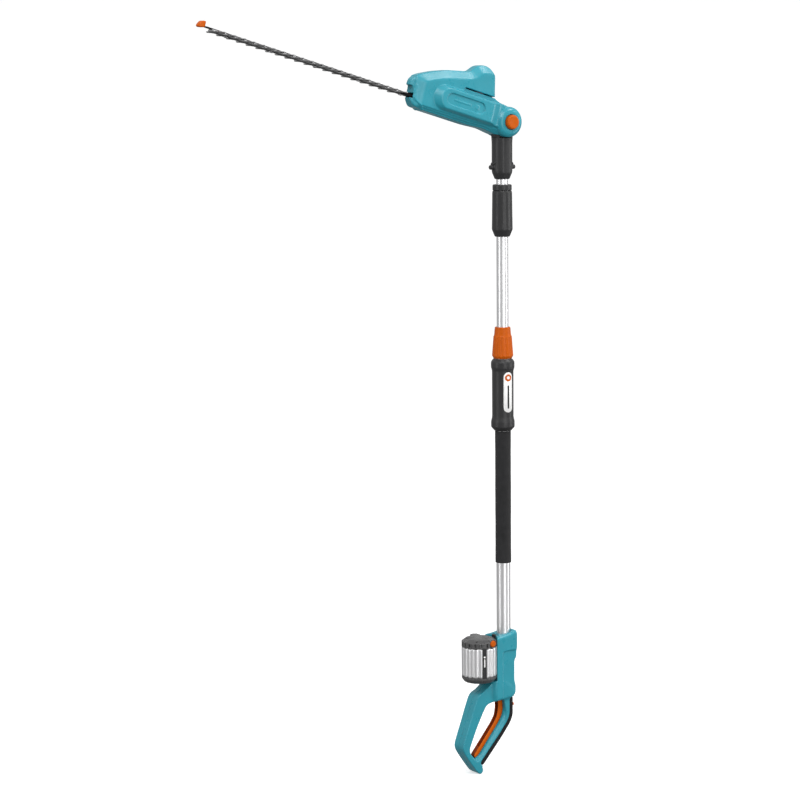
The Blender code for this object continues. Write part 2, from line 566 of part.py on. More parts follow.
STRIP = [
    (5.5, -417), (5.3, -455), (0, -468), (-20, -493), (-69.5, -548.5), (-62.5, -554.5), (-13, -499),
    (7.7, -473), (14.3, -458), (14.5, -417),
]
GRIP_CORE = [
    (-11, -410), (-11, -444), (-15, -457), (-24, -471), (-73, -531), (-84, -538), (-66, -556), (-17, -497),
    (4, -470), (9, -456), (9, -410),
]
TRIGGER = [
    (-19, -424), (-19, -441), (-22, -457), (-31, -471), (-80, -531), (-78, -536.5), (-70.5, -538),
    (-21.5, -478), (-10, -458), (-7, -444), (-7, -424),
]
TRIGGER_SLOT = [
    (-26, -421), (-26, -447), (-34, -470), (-86, -533), (-80, -541), (-64, -542), (-14, -480), (-3, -461),
    (2.5, -446), (2.5, -421),
]


def make_handle_tools():
    tools = {}
    tools["housing"] = extrude(HOUSING, -HOUSING_HALF, HOUSING_HALF, edge=5.0)
    tools["core"] = extrude(GRIP_CORE, -15.0, 15.0, edge=3.0)
    tools["opening"] = extrude(OPENING, -40.0, 40.0)
    tools["drum"] = turn([(0.0, DRUM_BOTTOM_Z - 1.0), (DRUM_R + 0.9, DRUM_BOTTOM_Z - 1.0),
                          (DRUM_R + 0.9, -270.0), (0.0, -270.0)], 40, centre=(DRUM_X, 0.0))
    tools["arm_cavity"] = extrude(ARM_CAVITY, -13.5, 13.5)
    tools["tube_cavity"] = extrude(TUBE_CAVITY, -20.0, 20.0)
    wall = LOWER_TUBE_R + GAP
    for side in (-1, 1):
        low, high = sorted((side * 21.5, side * 40.0))
        tools[f"panel{side}"] = box((-18.0, low, -385.0), (40.0, high, -318.0))
    bore_bottom = LOWER_TUBE_BOTTOM_Z - 1.0
    tools["tube_bore"] = turn([(0.0, bore_bottom), (wall, bore_bottom), (wall, -270.0), (0.0, -270.0)], 28)
    tools["channel"] = box((-28.0, -7.2, -372.0), (-21.0, 7.2, -270.0))
    tools["channel_head"] = box((-22.0, -10.6, -372.0), (-18.0, 10.6, -270.0))
    tools["slot"] = extrude(TRIGGER_SLOT, -TRIGGER_HALF - 0.5, TRIGGER_HALF + 0.5)
    tools["strip"] = extrude(grow(STRIP, GAP), -40.0, 40.0)
    tools["switch"] = box((-9.5, -8.0, -423.0), (8.0, 8.0, -395.0))
    pin = [(0.0, -14.0), (2.3, -14.0), (2.3, 14.0), (0.0, 14.0)]
    tools["pin"] = turn(pin, 12, centre=TRIGGER_PIVOT, axis="Y")
    button = [(0.0, 0.0), (4.1, 0.0), (4.1, 30.0), (0.0, 30.0)]
    tools["button"] = turn(button, 16, centre=(0.0, SAFETY_Z), axis="X")
    return {key: as_tool(add_object("tool_handle_" + key, bm, "teal")) for key, bm in tools.items()}


def make_handle():
    tools = make_handle_tools()
    for name, side in (("handle_shell_left", -1), ("handle_shell_right", 1)):
        shell = add_object(name, extrude(LOOP, -HANDLE_HALF, HANDLE_HALF, edge=4.0), "teal")
        low, high = sorted((-side * 60.0, side * GAP / 2))
        half = box((-140, low, -600), (60, high, -250))
        half = as_tool(add_object("tool_handle_half" + str(side), half, "teal"))
        join(shell, tools["housing"])
        cut(shell, tools["opening"])
        join(shell, tools["core"])
        cut(shell, half)
        for key in ("drum", "arm_cavity", "tube_cavity", "tube_bore", "channel", "channel_head", "slot", "strip",
                    "switch", "pin", "button", f"panel{side}"):
            cut(shell, tools[key])
    strip = add_object("soft_grip_strip", extrude(STRIP, -15.0, 15.0, edge=3.0), "foam")
    cut(strip, tools["button"])

    lever = extrude(TRIGGER, -TRIGGER_HALF, TRIGGER_HALF, edge=1.5)
    lever = add_object("trigger", lever, "orange", None, (TRIGGER_PIVOT[0], 0.0, TRIGGER_PIVOT[1]))
    cut(lever, tools["pin"])
    pin = turn([(0.0, -13.7), (2.0, -13.7), (2.0, 13.7), (0.0, 13.7)], 12, centre=TRIGGER_PIVOT, axis="Y")
    add_object("trigger_pin", pin, "steel")
    switch = box((-7.5, -6.0, -416.0), (6.0, 6.0, -397.0))
    add_object("trigger_switch", switch, "dark")
    button = [(0.0, 6.2), (3.7, 6.2), (3.7, 16.6), (2.9, 17.4), (0.0, 17.4)]
    button = turn(button, 16, centre=(0.0, SAFETY_Z), axis="X")
    add_object("safety_button", button, "orange", None, (17.4, 0.0, SAFETY_Z))
    block = box((-25.0, -6.9, -371.7), (-18.4, 6.9, -364.5))
    add_object("terminal_block", block, "dark")


# ---------------------------------------------------------------- battery

RELEASE_X = -52.0
RELEASE_Z = -294.5
RELEASE_R = 7.5


def make_battery():
    centre = (DRUM_X, 0.0)
    wall_bottom, wall_top = JACKET_Z
    cap = [(0.0, DRUM_TOP_Z), (26.0, DRUM_TOP_Z), (31.5, -286.5), (DRUM_R, -292.5), (DRUM_R, wall_top + GAP),
           (33.0, wall_top + GAP), (33.0, -293.5), (29.5, -289.0), (0.0, -289.0)]
    cap = add_object("battery_cap", turn(cap, 24, centre), "dark")
    for key, side in (("left", -1), ("right", 1)):
        hole = turn([(0.0, side * 25.0), (RELEASE_R + GAP, side * 25.0), (RELEASE_R + GAP, side * 45.0),
                     (0.0, side * 45.0)], 20, (RELEASE_X, RELEASE_Z), "Y")
        cut(cap, as_tool(add_object("tool_release_" + key, hole, "dark")))
        button = turn([(0.0, side * 28.0), (RELEASE_R, side * 28.0), (RELEASE_R, side * 37.5),
                       (RELEASE_R - 1.2, side * 38.6), (0.0, side * 38.6)], 20, (RELEASE_X, RELEASE_Z), "Y")
        add_object("release_button_" + key, button, "orange", None, (RELEASE_X, side * 38.6, RELEASE_Z))

    jacket = [(33.4, wall_bottom), (DRUM_R, wall_bottom), (DRUM_R, wall_top), (33.4, wall_top)]
    add_object("battery_jacket", turn(jacket, 24, centre), "bright")

    base = [(0.0, DRUM_BOTTOM_Z), (31.0, DRUM_BOTTOM_Z), (DRUM_R, -369.5), (DRUM_R, wall_bottom - GAP),
            (33.0, wall_bottom - GAP), (33.0, -368.5), (29.5, -373.5), (0.0, -373.5)]
    add_object("battery_base", turn(base, 24, centre), "dark")

    strip_angle = -107.0
    outline = arc(centre, DRUM_R + 1.2, strip_angle - 8, strip_angle + 8, 5)
    outline += arc(centre, DRUM_R + 0.3, strip_angle + 8, strip_angle - 8, 5)
    add_object("battery_strip", extrude(outline, wall_bottom, wall_top, across="Z"), "dark")

    pack = turn([(0.0, -336.0), (26.5, -336.0), (26.5, -332.0), (0.0, -332.0)], 24, centre)
    pack = add_object("cell_pack", pack, "steel")
    for k in range(5):
        angle = 2 * pi * k / 5
        place = (DRUM_X + 16.4 * cos(angle), 16.4 * sin(angle))
        cell = turn([(0.0, -366.5), (9.2, -366.5), (9.2, -301.5), (0.0, -301.5)], 10, place)
        join(pack, as_tool(add_object(f"tool_cell{k}", cell, "steel")))

    rail = add_object("battery_rail", box((-25.1, -6.5, -363.5), (-20.5, 6.5, DRUM_TOP_Z - 1.0)), "dark")
    head = box((-21.5, -10.0, -363.5), (-18.6, 10.0, DRUM_TOP_Z - 1.0))
    join(rail, as_tool(add_object("tool_rail_head", head, "dark")))


make_head_shells()
make_tilt_lock()
make_blade()
make_drive()
make_head_coupling()
make_upper_pole()
make_clamp()
make_grips()
make_handle()
make_battery()
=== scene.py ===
"""Looks of the telescopic pole hedge trimmer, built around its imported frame.

Outlines and sizes are in millimetres and are scaled to metres when a mesh is made. The pole is the Z axis,
the blade points towards -X and the tilt lock button faces -Y. Pieces of the cutting head are laid out in its
own axes: -X runs forwards along the blade, +Z is up and the origin is on the tilt hinge.

Moulded pieces are distance fields, negative inside, that are skinned with quads. Turned and stamped pieces
are swept directly. In the fields u is the distance forwards from the hinge and a is the distance from the
middle plane. A slanted face is given by the two cosines of its slope, and the last number of both, either
and blend_both is the radius or width of the edge.
"""

import json
from functools import reduce
from itertools import product
from math import asin, cos, pi, radians, sin

import bmesh
import bpy
import numpy as np
from mathutils import Matrix, Vector


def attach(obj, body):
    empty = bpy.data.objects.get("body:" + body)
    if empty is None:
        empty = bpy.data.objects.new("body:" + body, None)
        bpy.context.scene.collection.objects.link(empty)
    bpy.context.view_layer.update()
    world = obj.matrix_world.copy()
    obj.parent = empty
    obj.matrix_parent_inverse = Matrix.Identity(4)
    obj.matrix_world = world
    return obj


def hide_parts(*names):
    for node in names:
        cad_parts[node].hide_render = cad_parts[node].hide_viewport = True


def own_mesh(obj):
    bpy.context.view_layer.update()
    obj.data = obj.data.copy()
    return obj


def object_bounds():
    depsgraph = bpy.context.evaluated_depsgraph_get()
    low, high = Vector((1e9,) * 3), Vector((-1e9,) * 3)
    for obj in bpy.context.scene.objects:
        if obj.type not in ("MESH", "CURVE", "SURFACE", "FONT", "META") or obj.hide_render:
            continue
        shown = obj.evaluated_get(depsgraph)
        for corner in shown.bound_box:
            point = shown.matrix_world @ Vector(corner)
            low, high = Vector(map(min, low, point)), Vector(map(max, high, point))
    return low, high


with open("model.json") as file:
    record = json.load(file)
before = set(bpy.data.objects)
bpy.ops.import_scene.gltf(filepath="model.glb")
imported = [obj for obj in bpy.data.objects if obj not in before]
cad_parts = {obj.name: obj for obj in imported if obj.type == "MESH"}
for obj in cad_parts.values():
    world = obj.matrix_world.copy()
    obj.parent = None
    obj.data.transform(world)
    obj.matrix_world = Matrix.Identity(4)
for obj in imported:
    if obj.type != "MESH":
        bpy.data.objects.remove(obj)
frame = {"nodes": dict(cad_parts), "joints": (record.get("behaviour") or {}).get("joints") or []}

cad_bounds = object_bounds()

MM = 0.001
COARSE = 1.0

JOINTS = {joint["name"]: joint for joint in frame["joints"]}
HINGE = Vector(JOINTS["head_tilt"]["pos_m"])
HEAD_TILT = asin(JOINTS["upper_knife_slide"]["axis"][2])
HEAD = Matrix.Translation(HINGE) @ Matrix.Rotation(HEAD_TILT, 4, "Y")
POLE = Matrix.Identity(4)


# ---- outlines

def soft_corners(points, radius, closed=True, count=5):
    """Round an outline's corners with short curves that start at most the radius away from each corner."""
    done = []
    for k, point in enumerate(points):
        if not closed and k in (0, len(points) - 1):
            done.append(tuple(point))
            continue
        here = Vector(point)
        back = Vector(points[k - 1]) - here
        ahead = Vector(points[(k + 1) % len(points)]) - here
        start = here + back.normalized() * min(radius, back.length * 0.45)
        end = here + ahead.normalized() * min(radius, ahead.length * 0.45)
        for step in range(count):
            t = step / (count - 1)
            done.append(tuple(start * (1 - t) ** 2 + here * 2 * t * (1 - t) + end * t ** 2))
    return done


def arc(centre, radius, start, end, count):
    """Points on an arc, with its angles in degrees."""
    spread = [radians(start + (end - start) * k / (count - 1)) for k in range(count)]
    return [(centre[0] + radius * cos(a), centre[1] + radius * sin(a)) for a in spread]


def divided(profile, spacing, shortest=0.0, inner=0.0):
    """A closed profile with extra points along its long outer sides, so that a bend can shape them."""
    done = []
    for here, ahead in zip(profile, profile[1:] + profile[:1]):
        here, ahead = Vector(here), Vector(ahead)
        length = (ahead - here).length
        outer = length > shortest and min(here.x, ahead.x) > inner
        count = max(1, int(length / spacing)) if outer else 1
        done += [tuple(here.lerp(ahead, k / count)) for k in range(count)]
    return done


def grow(outline, distance):
    """Move every side of a closed outline outwards by a distance, with mitred corners."""
    area = sum(a[0] * b[1] - b[0] * a[1] for a, b in zip(outline, outline[1:] + outline[:1]))
    side = 1.0 if area > 0 else -1.0
    moved = []
    for k, point in enumerate(outline):
        here = Vector(point)
        back = (here - Vector(outline[k - 1])).normalized()
        ahead = (Vector(outline[(k + 1) % len(outline)]) - here).normalized()
        normal = (Vector((back.y, -back.x)) + Vector((ahead.y, -ahead.x))).normalized() * side
        reach = distance / max(0.4, normal.dot(Vector((back.y, -back.x)) * side))
        moved.append(tuple(here + normal * reach))
    return moved


# ---- distance fields

def outline_field(points):
    """Distance to a closed outline in its own plane."""
    corners = np.array(points, float)
    following = np.roll(corners, -1, axis=0)

    def field(p, q):
        shape = np.broadcast(p, q).shape
        nearest = np.full(shape, 1e12)
        inside = np.zeros(shape, bool)
        for (x0, y0), (x1, y1) in zip(corners, following):
            along_x, along_y = x1 - x0, y1 - y0
            to_x, to_y = p - x0, q - y0
            t = np.clip((to_x * along_x + to_y * along_y) / (along_x ** 2 + along_y ** 2), 0, 1)
            nearest = np.minimum(nearest, (to_x - along_x * t) ** 2 + (to_y - along_y * t) ** 2)
            if y0 != y1:
                crosses = (y0 > q) != (y1 > q)
                inside ^= crosses & (to_x < to_y * along_x / along_y)
        distance = np.sqrt(nearest)
        return np.where(inside, -distance, distance)

    return field


def soft_field(points, radius):
    """Distance to a closed outline with rounded corners."""
    return outline_field(soft_corners(points, radius))


def both(a, b, radius):
    """Intersection of two solids with a rounded edge."""
    outside = np.hypot(np.maximum(a + radius, 0), np.maximum(b + radius, 0))
    return np.minimum(np.maximum(a, b), -radius) + outside


def either(a, b, width):
    """Union of two solids, blended over a width."""
    t = np.clip(0.5 + 0.5 * (b - a) / width, 0, 1)
    return b + (a - b) * t - width * t * (1 - t)


def blend_both(a, b, width):
    """Intersection of two solids, blended over a width."""
    return -either(-a, -b, width)


def meet(*solids):
    """Intersection of any number of solids with hard edges."""
    return reduce(np.maximum, solids)


def ramp(t):
    """Smooth step from 0 to 1."""
    t = np.clip(t, 0, 1)
    return t * t * (3 - 2 * t)


def block(p, low, high):
    """Distance to a slab between two levels."""
    return np.maximum(low - p, p - high)


def segment(p, q, start, end):
    """Distance to a straight line along p, from start to end, at q = 0. The ends may be fields."""
    return np.hypot(p - np.clip(p, np.minimum(start, end), np.maximum(start, end)), q)


# ---- meshes

def skin(field, low, high, cell):
    """Quads around a solid: one corner in each cell that its surface crosses, moved onto the surface."""
    cell *= COARSE
    axes = [np.arange(a - 2 * cell, b + 3 * cell, cell) for a, b in zip(low, high)]
    grid = np.ix_(*axes)
    shape = tuple(len(a) for a in axes)
    values = np.broadcast_to(field(*grid), shape)
    inside = values < 0
    near = [slice(0, -1), slice(1, None)]
    count = sum(inside[near[i], near[j], near[k]].astype(np.int8) for i, j, k in product((0, 1), repeat=3))
    mixed = (count > 0) & (count < 8)
    number = np.full(mixed.shape, -1)
    cells = np.argwhere(mixed)
    number[mixed] = np.arange(len(cells))

    total = np.zeros((len(cells), 3))
    hits = np.zeros((len(cells), 1))
    for axis in range(3):
        step = np.eye(3, dtype=int)[axis]
        for corner in (c for c in product((0, 1), repeat=3) if not c[axis]):
            first = cells + corner
            a = values[tuple(first.T)]
            b = values[tuple((first + step).T)]
            crosses = (a < 0) != (b < 0)
            t = np.where(crosses, a / np.where(crosses, a - b, 1), 0)
            total += np.where(crosses[:, None], first + t[:, None] * step, 0)
            hits += crosses[:, None]
    points = np.array([a[0] for a in axes]) + total / hits * cell

    quads = []
    for axis in range(3):
        other = [k for k in range(3) if k != axis]
        inner = [slice(1, -1)] * 3
        inner[axis] = slice(0, -1)
        after = list(inner)
        after[axis] = slice(1, None)
        change = inside[tuple(inner)].astype(np.int8) - inside[tuple(after)].astype(np.int8)
        where = np.argwhere(change)
        signs = change[tuple(where.T)]
        where[:, other] += 1
        ring = []
        for back_a, back_b in ((1, 1), (0, 1), (0, 0), (1, 0)):
            place = where.copy()
            place[:, other[0]] -= back_a
            place[:, other[1]] -= back_b
            ring.append(number[tuple(place.T)])
        ring = np.stack(ring, axis=1)
        flip = (signs > 0) == (axis == 1)
        ring[flip] = ring[flip][:, ::-1]
        quads.append(ring)
    quads = np.concatenate(quads)
    return pulled(field, relaxed(points, quads), cell), quads


def relaxed(points, quads):
    """Move each corner part of the way to the middle of its neighbours."""
    total = np.zeros_like(points)
    hits = np.zeros((len(points), 1))
    for k in range(4):
        for n in (1, 3):
            np.add.at(total, quads[:, k], points[quads[:, (k + n) % 4]])
            np.add.at(hits, quads[:, k], 1)
    return points * 0.5 + total / np.maximum(hits, 1) * 0.5


def pulled(field, points, cell, rounds=3):
    """Move points along the field's slope onto its surface."""
    probes = np.array([(1, -1, -1), (-1, -1, 1), (-1, 1, -1), (1, 1, 1)]) * cell * 0.15
    for _ in range(rounds):
        slope = np.zeros_like(points)
        value = np.zeros(len(points))
        for probe in probes:
            sample = field(*(points + probe).T)
            slope += sample[:, None] * probe
            value += sample / 4
        slope /= 4 * (cell * 0.15) ** 2
        length = np.maximum(np.linalg.norm(slope, axis=1), 0.35)
        move = np.clip(value / length, -0.5 * cell, 0.5 * cell)
        points = points - slope / length[:, None] * move[:, None]
    return points


def lathe(profile, segments=96, bend=None):
    """Revolve (radius, height) points about Z: a solid if they start and end on the axis, else a ring.
    bend, if given, maps radius, height and angle arrays to new radii and heights."""
    radii, heights = np.array(profile, float).T
    angles = np.arange(segments) * 2 * pi / segments
    r = np.repeat(radii[:, None], segments, axis=1)
    z = np.repeat(heights[:, None], segments, axis=1)
    if bend:
        r, z = bend(r, z, angles[None, :])
    points = np.stack([r * np.cos(angles), r * np.sin(angles), z], axis=2).reshape(-1, 3)
    rows = len(profile)
    ring = not (radii[0] == 0 and radii[-1] == 0)
    faces = []
    for row in range(rows if ring else rows - 1):
        up = (row + 1) % rows
        for k in range(segments):
            n = (k + 1) % segments
            faces.append((row * segments + k, row * segments + n, up * segments + n, up * segments + k))
    return points, faces


def closed_mesh(name, shape):
    """A mesh in metres from points in millimetres and faces, with its normals pointing out."""
    points, faces = shape
    mesh = bpy.data.meshes.new(name)
    mesh.from_pydata((np.asarray(points, float) * MM).tolist(), [], [list(map(int, f)) for f in faces])
    work = bmesh.new()
    work.from_mesh(mesh)
    bmesh.ops.remove_doubles(work, verts=work.verts, dist=0.000002)
    bmesh.ops.dissolve_degenerate(work, edges=work.edges, dist=0.000001)
    bmesh.ops.recalc_face_normals(work, faces=work.faces)
    work.to_mesh(mesh)
    work.free()
    return mesh


def make(name, shape, material, body, stands_for=(), place=POLE, sharp=40.0, extra=(), pick=None):
    """Make a piece from points in millimetres and faces, let it ride on a body and hide the parts it stands
    for.
    extra holds more materials, and pick gives each face the number of its material."""
    mesh = closed_mesh(name, shape)
    for one in (material, *extra):
        mesh.materials.append(one)
    if pick:
        mesh.polygons.foreach_set("material_index", [pick(f.center / MM, f.normal) for f in mesh.polygons])
    mesh.shade_smooth()
    mesh.set_sharp_from_angle(angle=radians(sharp))
    mesh.transform(place)
    piece = bpy.data.objects.new(name, mesh)
    bpy.context.scene.collection.objects.link(piece)
    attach(piece, body)
    if stands_for:
        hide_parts(*stands_for)
    return piece


def stacked(levels):
    """Loft through outlines with as many points each, given as (height, outline), with both ends closed."""
    n = len(levels[0][1])
    points = [(p, q, h) for h, outline in levels for p, q in outline]
    faces = [tuple(range(n)), tuple(range((len(levels) - 1) * n, len(levels) * n))]
    for row in range(len(levels) - 1):
        for k in range(n):
            m = (k + 1) % n
            faces.append((row * n + k, row * n + m, (row + 1) * n + m, (row + 1) * n + k))
    return points, faces


def placed(shape, centre, axis="Z"):
    """Turn a shape that was made along Z so that it points along another axis, and move it."""
    points, faces = shape
    points = np.asarray(points, float)
    if axis == "-Y":
        points = np.stack([points[:, 0], -points[:, 2], points[:, 1]], axis=1)
    elif axis == "+Y":
        points = np.stack([points[:, 0], points[:, 2], -points[:, 1]], axis=1)
    elif axis == "-Z":
        points = points * (1, -1, -1)
    return points + np.array(centre, float), faces


def join_shapes(*shapes):
    """Several bodies in one shape."""
    points, faces = [], []
    for more_points, more_faces in shapes:
        faces += [tuple(i + len(points) for i in f) for f in more_faces]
        points += [tuple(p) for p in more_points]
    return points, faces


def cut(piece, shape, place=POLE):
    """Cut a closed shape out of a piece and keep the result as the piece's mesh."""
    mesh = closed_mesh("cutter", shape)
    mesh.transform(place)
    tool = bpy.data.objects.new("cutter", mesh)
    bpy.context.scene.collection.objects.link(tool)
    modifier = piece.modifiers.new("cut", "BOOLEAN")
    modifier.operation = "DIFFERENCE"
    modifier.object = tool
    bpy.context.view_layer.update()
    graph = bpy.context.evaluated_depsgraph_get()
    result = bpy.data.meshes.new_from_object(piece.evaluated_get(graph), depsgraph=graph)
    piece.modifiers.clear()
    piece.data = result
    bpy.data.objects.remove(tool, do_unlink=True)


# ---- materials

def fill(tree, node, **inputs):
    """Set a node's inputs to values or link them to other nodes' outputs. _ stands for a space."""
    for name, value in inputs.items():
        socket = node.inputs[name.replace("_", " ")]
        if isinstance(value, bpy.types.NodeSocket):
            tree.links.new(value, socket)
        else:
            socket.default_value = value


def add(tree, kind, output, **inputs):
    """Add a shader node and give one of its outputs."""
    node = tree.nodes.new("ShaderNode" + kind)
    fill(tree, node, **inputs)
    return node.outputs[output]


def new_material(name):
    material = bpy.data.materials.new(name)
    material.use_nodes = True
    return material, material.node_tree, material.node_tree.nodes["Principled BSDF"]


def noise(tree, scale, detail=3.0, stretch=None, roughness=0.5, tilt=0.0):
    """Noise over the piece's own space, optionally tilted about Y and stretched along an axis."""
    source = add(tree, "TexCoord", "Object")
    if stretch:
        mapping = tree.nodes.new("ShaderNodeMapping")
        mapping.vector_type = "TEXTURE"
        fill(tree, mapping, Vector=source, Rotation=(0, tilt, 0), Scale=[1 / s for s in stretch])
        source = mapping.outputs["Vector"]
    return add(tree, "TexNoise", "Fac", Vector=source, Scale=scale, Detail=detail, Roughness=roughness)


def mapped(tree, source, low, high, start=0.3, end=0.7):
    """Map a noise value from its usual span to a range."""
    return add(tree, "MapRange", "Result", Value=source, From_Min=start, From_Max=end, To_Min=low,
               To_Max=high)


def tinted(tree, scale, detail, colour, spread):
    """Colour that varies with noise around a base colour, by a share of it."""
    node = tree.nodes.new("ShaderNodeValToRGB")
    low, high = node.color_ramp.elements
    low.position, high.position = 0.32, 0.68
    low.color = (*[c * (1 - spread) for c in colour], 1)
    high.color = (*[min(1, c * (1 + spread)) for c in colour], 1)
    fill(tree, node, Fac=noise(tree, scale, detail))
    return node.outputs["Color"]


def bumped(tree, first, second):
    """The normal of two bumps, one over the other, each given as (height, strength, distance in metres)."""
    height, strength, distance = first
    normal = add(tree, "Bump", "Normal", Height=height, Strength=strength, Distance=distance)
    height, strength, distance = second
    return add(tree, "Bump", "Normal", Height=height, Strength=strength, Distance=distance, Normal=normal)


def plastic(name, colour, roughness=0.42, grain=0.25, spread=0.05, coat=0.0, gloss=0.35):
    """Moulded plastic: fine eroded grain, faint flow mottling and hand smudges in the gloss."""
    material, tree, shader = new_material(name)
    smudge = noise(tree, 46, 5, roughness=0.62)
    fill(tree, shader, Base_Color=tinted(tree, 22, 4, colour, spread),
         Roughness=mapped(tree, smudge, roughness - 0.06, roughness + 0.08),
         Specular_IOR_Level=gloss, Coat_Weight=coat, Coat_Roughness=0.25,
         Normal=bumped(tree, (noise(tree, 1500, 2), grain, 0.00012), (noise(tree, 30, 2), 0.10, 0.0006)))
    return material


def metal(name, colour, roughness, stretch, spread=0.05, scratch=0.2, tilt=0.0):
    """Drawn, ground or turned metal, with lines along the axis that is stretched least."""
    material, tree, shader = new_material(name)
    lines = noise(tree, 1.0, 4, stretch, 0.6, tilt)
    fill(tree, shader, Metallic=1.0, Base_Color=tinted(tree, 18, 3, colour, spread),
         Roughness=mapped(tree, lines, roughness - 0.07, roughness + 0.09),
         Normal=bumped(tree, (lines, scratch, 0.00006), (noise(tree, 35, 4), 0.04, 0.0004)))
    return material


def foam(name, colour):
    """Closed-cell foam: small pores over a soft uneven surface."""
    material, tree, shader = new_material(name)
    pores = add(tree, "TexVoronoi", "Distance", Vector=add(tree, "TexCoord", "Object"), Scale=900)
    fill(tree, shader, Base_Color=tinted(tree, 60, 4, colour, 0.18),
         Roughness=mapped(tree, pores, 0.78, 0.96, 0.0, 0.6),
         Specular_IOR_Level=0.2, Sheen_Weight=0.06, Sheen_Roughness=0.6,
         Normal=bumped(tree, (pores, 0.55, 0.0003), (noise(tree, 120, 3), 0.25, 0.0006)))
    return material


DRAWN = (700, 700, 5)           # lines along the pole
GROUND = (9, 900, 900)          # lines along the blade
TURNED = (500, 500, 500)

TEAL = plastic("teal_moulding", (0.016, 0.258, 0.328), 0.30, gloss=0.52)
ORANGE = plastic("orange_moulding", (0.500, 0.090, 0.002), 0.34, gloss=0.14)
TRIGGER_ORANGE = plastic("trigger_moulding", (0.600, 0.112, 0.004), 0.38, gloss=0.14)
# Darker red copy of the trigger's orange for its front and channel: painted shade.
TRIGGER_PAINTED_SHADE = plastic("trigger_painted_shade", (0.260, 0.034, 0.002), 0.42, gloss=0.14)
DARK = plastic("dark_moulding", (0.024, 0.024, 0.025), 0.36, grain=0.35, gloss=0.32)
CAP = plastic("cap_moulding", (0.058, 0.058, 0.059), 0.28, grain=0.35, gloss=0.55)
BLACK = plastic("black_moulding", (0.016, 0.016, 0.017), 0.46, grain=0.35)
RUBBER = plastic("soft_rubber", (0.008, 0.008, 0.009), 0.62, grain=0.5, gloss=0.22)
FOAM = foam("grip_foam", (0.019, 0.019, 0.020))
WHITE = plastic("white_plate", (0.86, 0.86, 0.85), 0.30, grain=0.08, spread=0.02, coat=0.3)
NYLON = plastic("nylon", (0.70, 0.69, 0.66), 0.5)
CABLE = plastic("cable_jacket", (0.022, 0.022, 0.024), 0.48)
TUBE = metal("drawn_tube", (0.80, 0.80, 0.81), 0.34, DRAWN, 0.03, 0.12)
JACKET = metal("jacket_sheet", (0.80, 0.80, 0.81), 0.36, DRAWN, 0.04, 0.15)
BLADE = plastic("blade_coating", (0.008, 0.008, 0.009), 0.40, grain=0.3, spread=0.15, gloss=0.06)
EDGE = metal("blade_edge", (0.50, 0.50, 0.505), 0.30, GROUND, 0.08, 0.3, HEAD_TILT)
BAR = plastic("guide_bar_coating", (0.007, 0.007, 0.008), 0.45, grain=0.3, spread=0.15, gloss=0.05)
SCREW = metal("screw_zinc", (0.55, 0.55, 0.56), 0.30, TURNED, 0.08, 0.2)
MOTOR = metal("motor_can", (0.06, 0.06, 0.065), 0.45, TURNED, 0.08, 0.2)
STEEL = metal("machined_steel", (0.42, 0.42, 0.43), 0.33, TURNED, 0.10, 0.25)
CAST = metal("cast_alloy", (0.55, 0.55, 0.56), 0.48, TURNED, 0.08, 0.5)
CELLS = plastic("cell_wrap", (0.08, 0.20, 0.42), 0.35)


# ---- head shells

SEAM_GAP = 0.06                 # half the gap between two shells
SEAM_EDGE = 0.25                # rounding of the shells' edges along the seam
SIDE_HALF = 22.0                # half the head's width
BARREL_FACE = 34.5              # outer face of the barrel on the side
BARREL_U = (24.0, 162.0)
BARREL_W = 6.0
BARREL_R = 25.0
BOSS_R = 30.3                   # hinge boss
BOSS_FACE = 33.8
BOSS_SHOULDER = 27.0
BUTTON_BORE_R = 15.2
HEAD_WALL = 3.0
HOLLOW_U = (50.0, 205.0)
BROW = [(242, 8), (239, 26), (221, 38.5), (191, 52), (162, 62), (108, 74), (95, 89), (82, 94.5)]
HEAD_SIDE = BROW + [(68, 94), (55.5, 83), (43.5, 37), (24, 31), (4, 29.5), (4, -29.5), (20, -31), (50, -27.5),
                    (90, -30), (220, -30), (234, -17)]
HEAD_TOP = BROW + [(60, 98), (-40, 98), (-40, -60), (242, -60)]
MOUTH = [(262, -12.6), (231, -12.6), (229.5, -3.0), (230, 6.0), (232.5, 11.5), (238.5, 12.0), (240.5, 8.0),
         (262, 8.0)]
KNIFE_WAY_W = (-12.6, -2.6)     # way for the knives through the nose
KNIFE_WAY_HALF = 12.0
RECESS_US = (80.5, 150.5)       # stadium-shaped recess in the barrel's face
RECESS_W = 6.5
RECESS_R = 11.5
RECESS_FLOOR = BARREL_FACE - 2.4
BADGE_FACE = BARREL_FACE - 1.7
BADGES = ((88.0, 88.01, 5.0), (104.0, 143.0, 1.6))      # a dot and a bar: start, end and radius
LEDGE_HALF = SIDE_HALF - 3.6    # sunk strip under the hump, with the air gap above it
LEDGE_W = (29.5, 39.2)
AIR_GAP_W = (37.2, 39.2)
AIR_GAP_U = (36.0, 114.0)
GROOVE_DEPTHS = (3.2, 7.0)      # two grooves along the lower edge
VENT_FIRST_U, VENT_PITCH, VENT_COUNT, VENT_HALF = 84.0, 9.5, 9, 2.2
CLEVIS_HALF = 13.0
WELL_R = 4.4                    # screw wells and their posts
POST_R = 6.6
HEAD_SCREWS = [(212.0, 24.0), (150.0, 50.0), (64.0, 78.0), (196.0, -20.5), (62.0, -19.0)]

head_side = soft_field(HEAD_SIDE, 7.0)
head_top = soft_field(HEAD_TOP, 9.0)
mouth_side = soft_field(MOUTH, 2.5)
clevis_side = outline_field([(12, 24.7), (12, 60), (-45, 60), (-45, -60), (18, -60), (18, -20.8),
                             *[(-x, z) for x, z in arc((0, 0), 27.5, 229, 116, 10)[1:-1]]])
ledge_side = soft_field([(120, LEDGE_W[1]), (120, LEDGE_W[0]), (20, LEDGE_W[0]), (20, LEDGE_W[1])], 5.0)


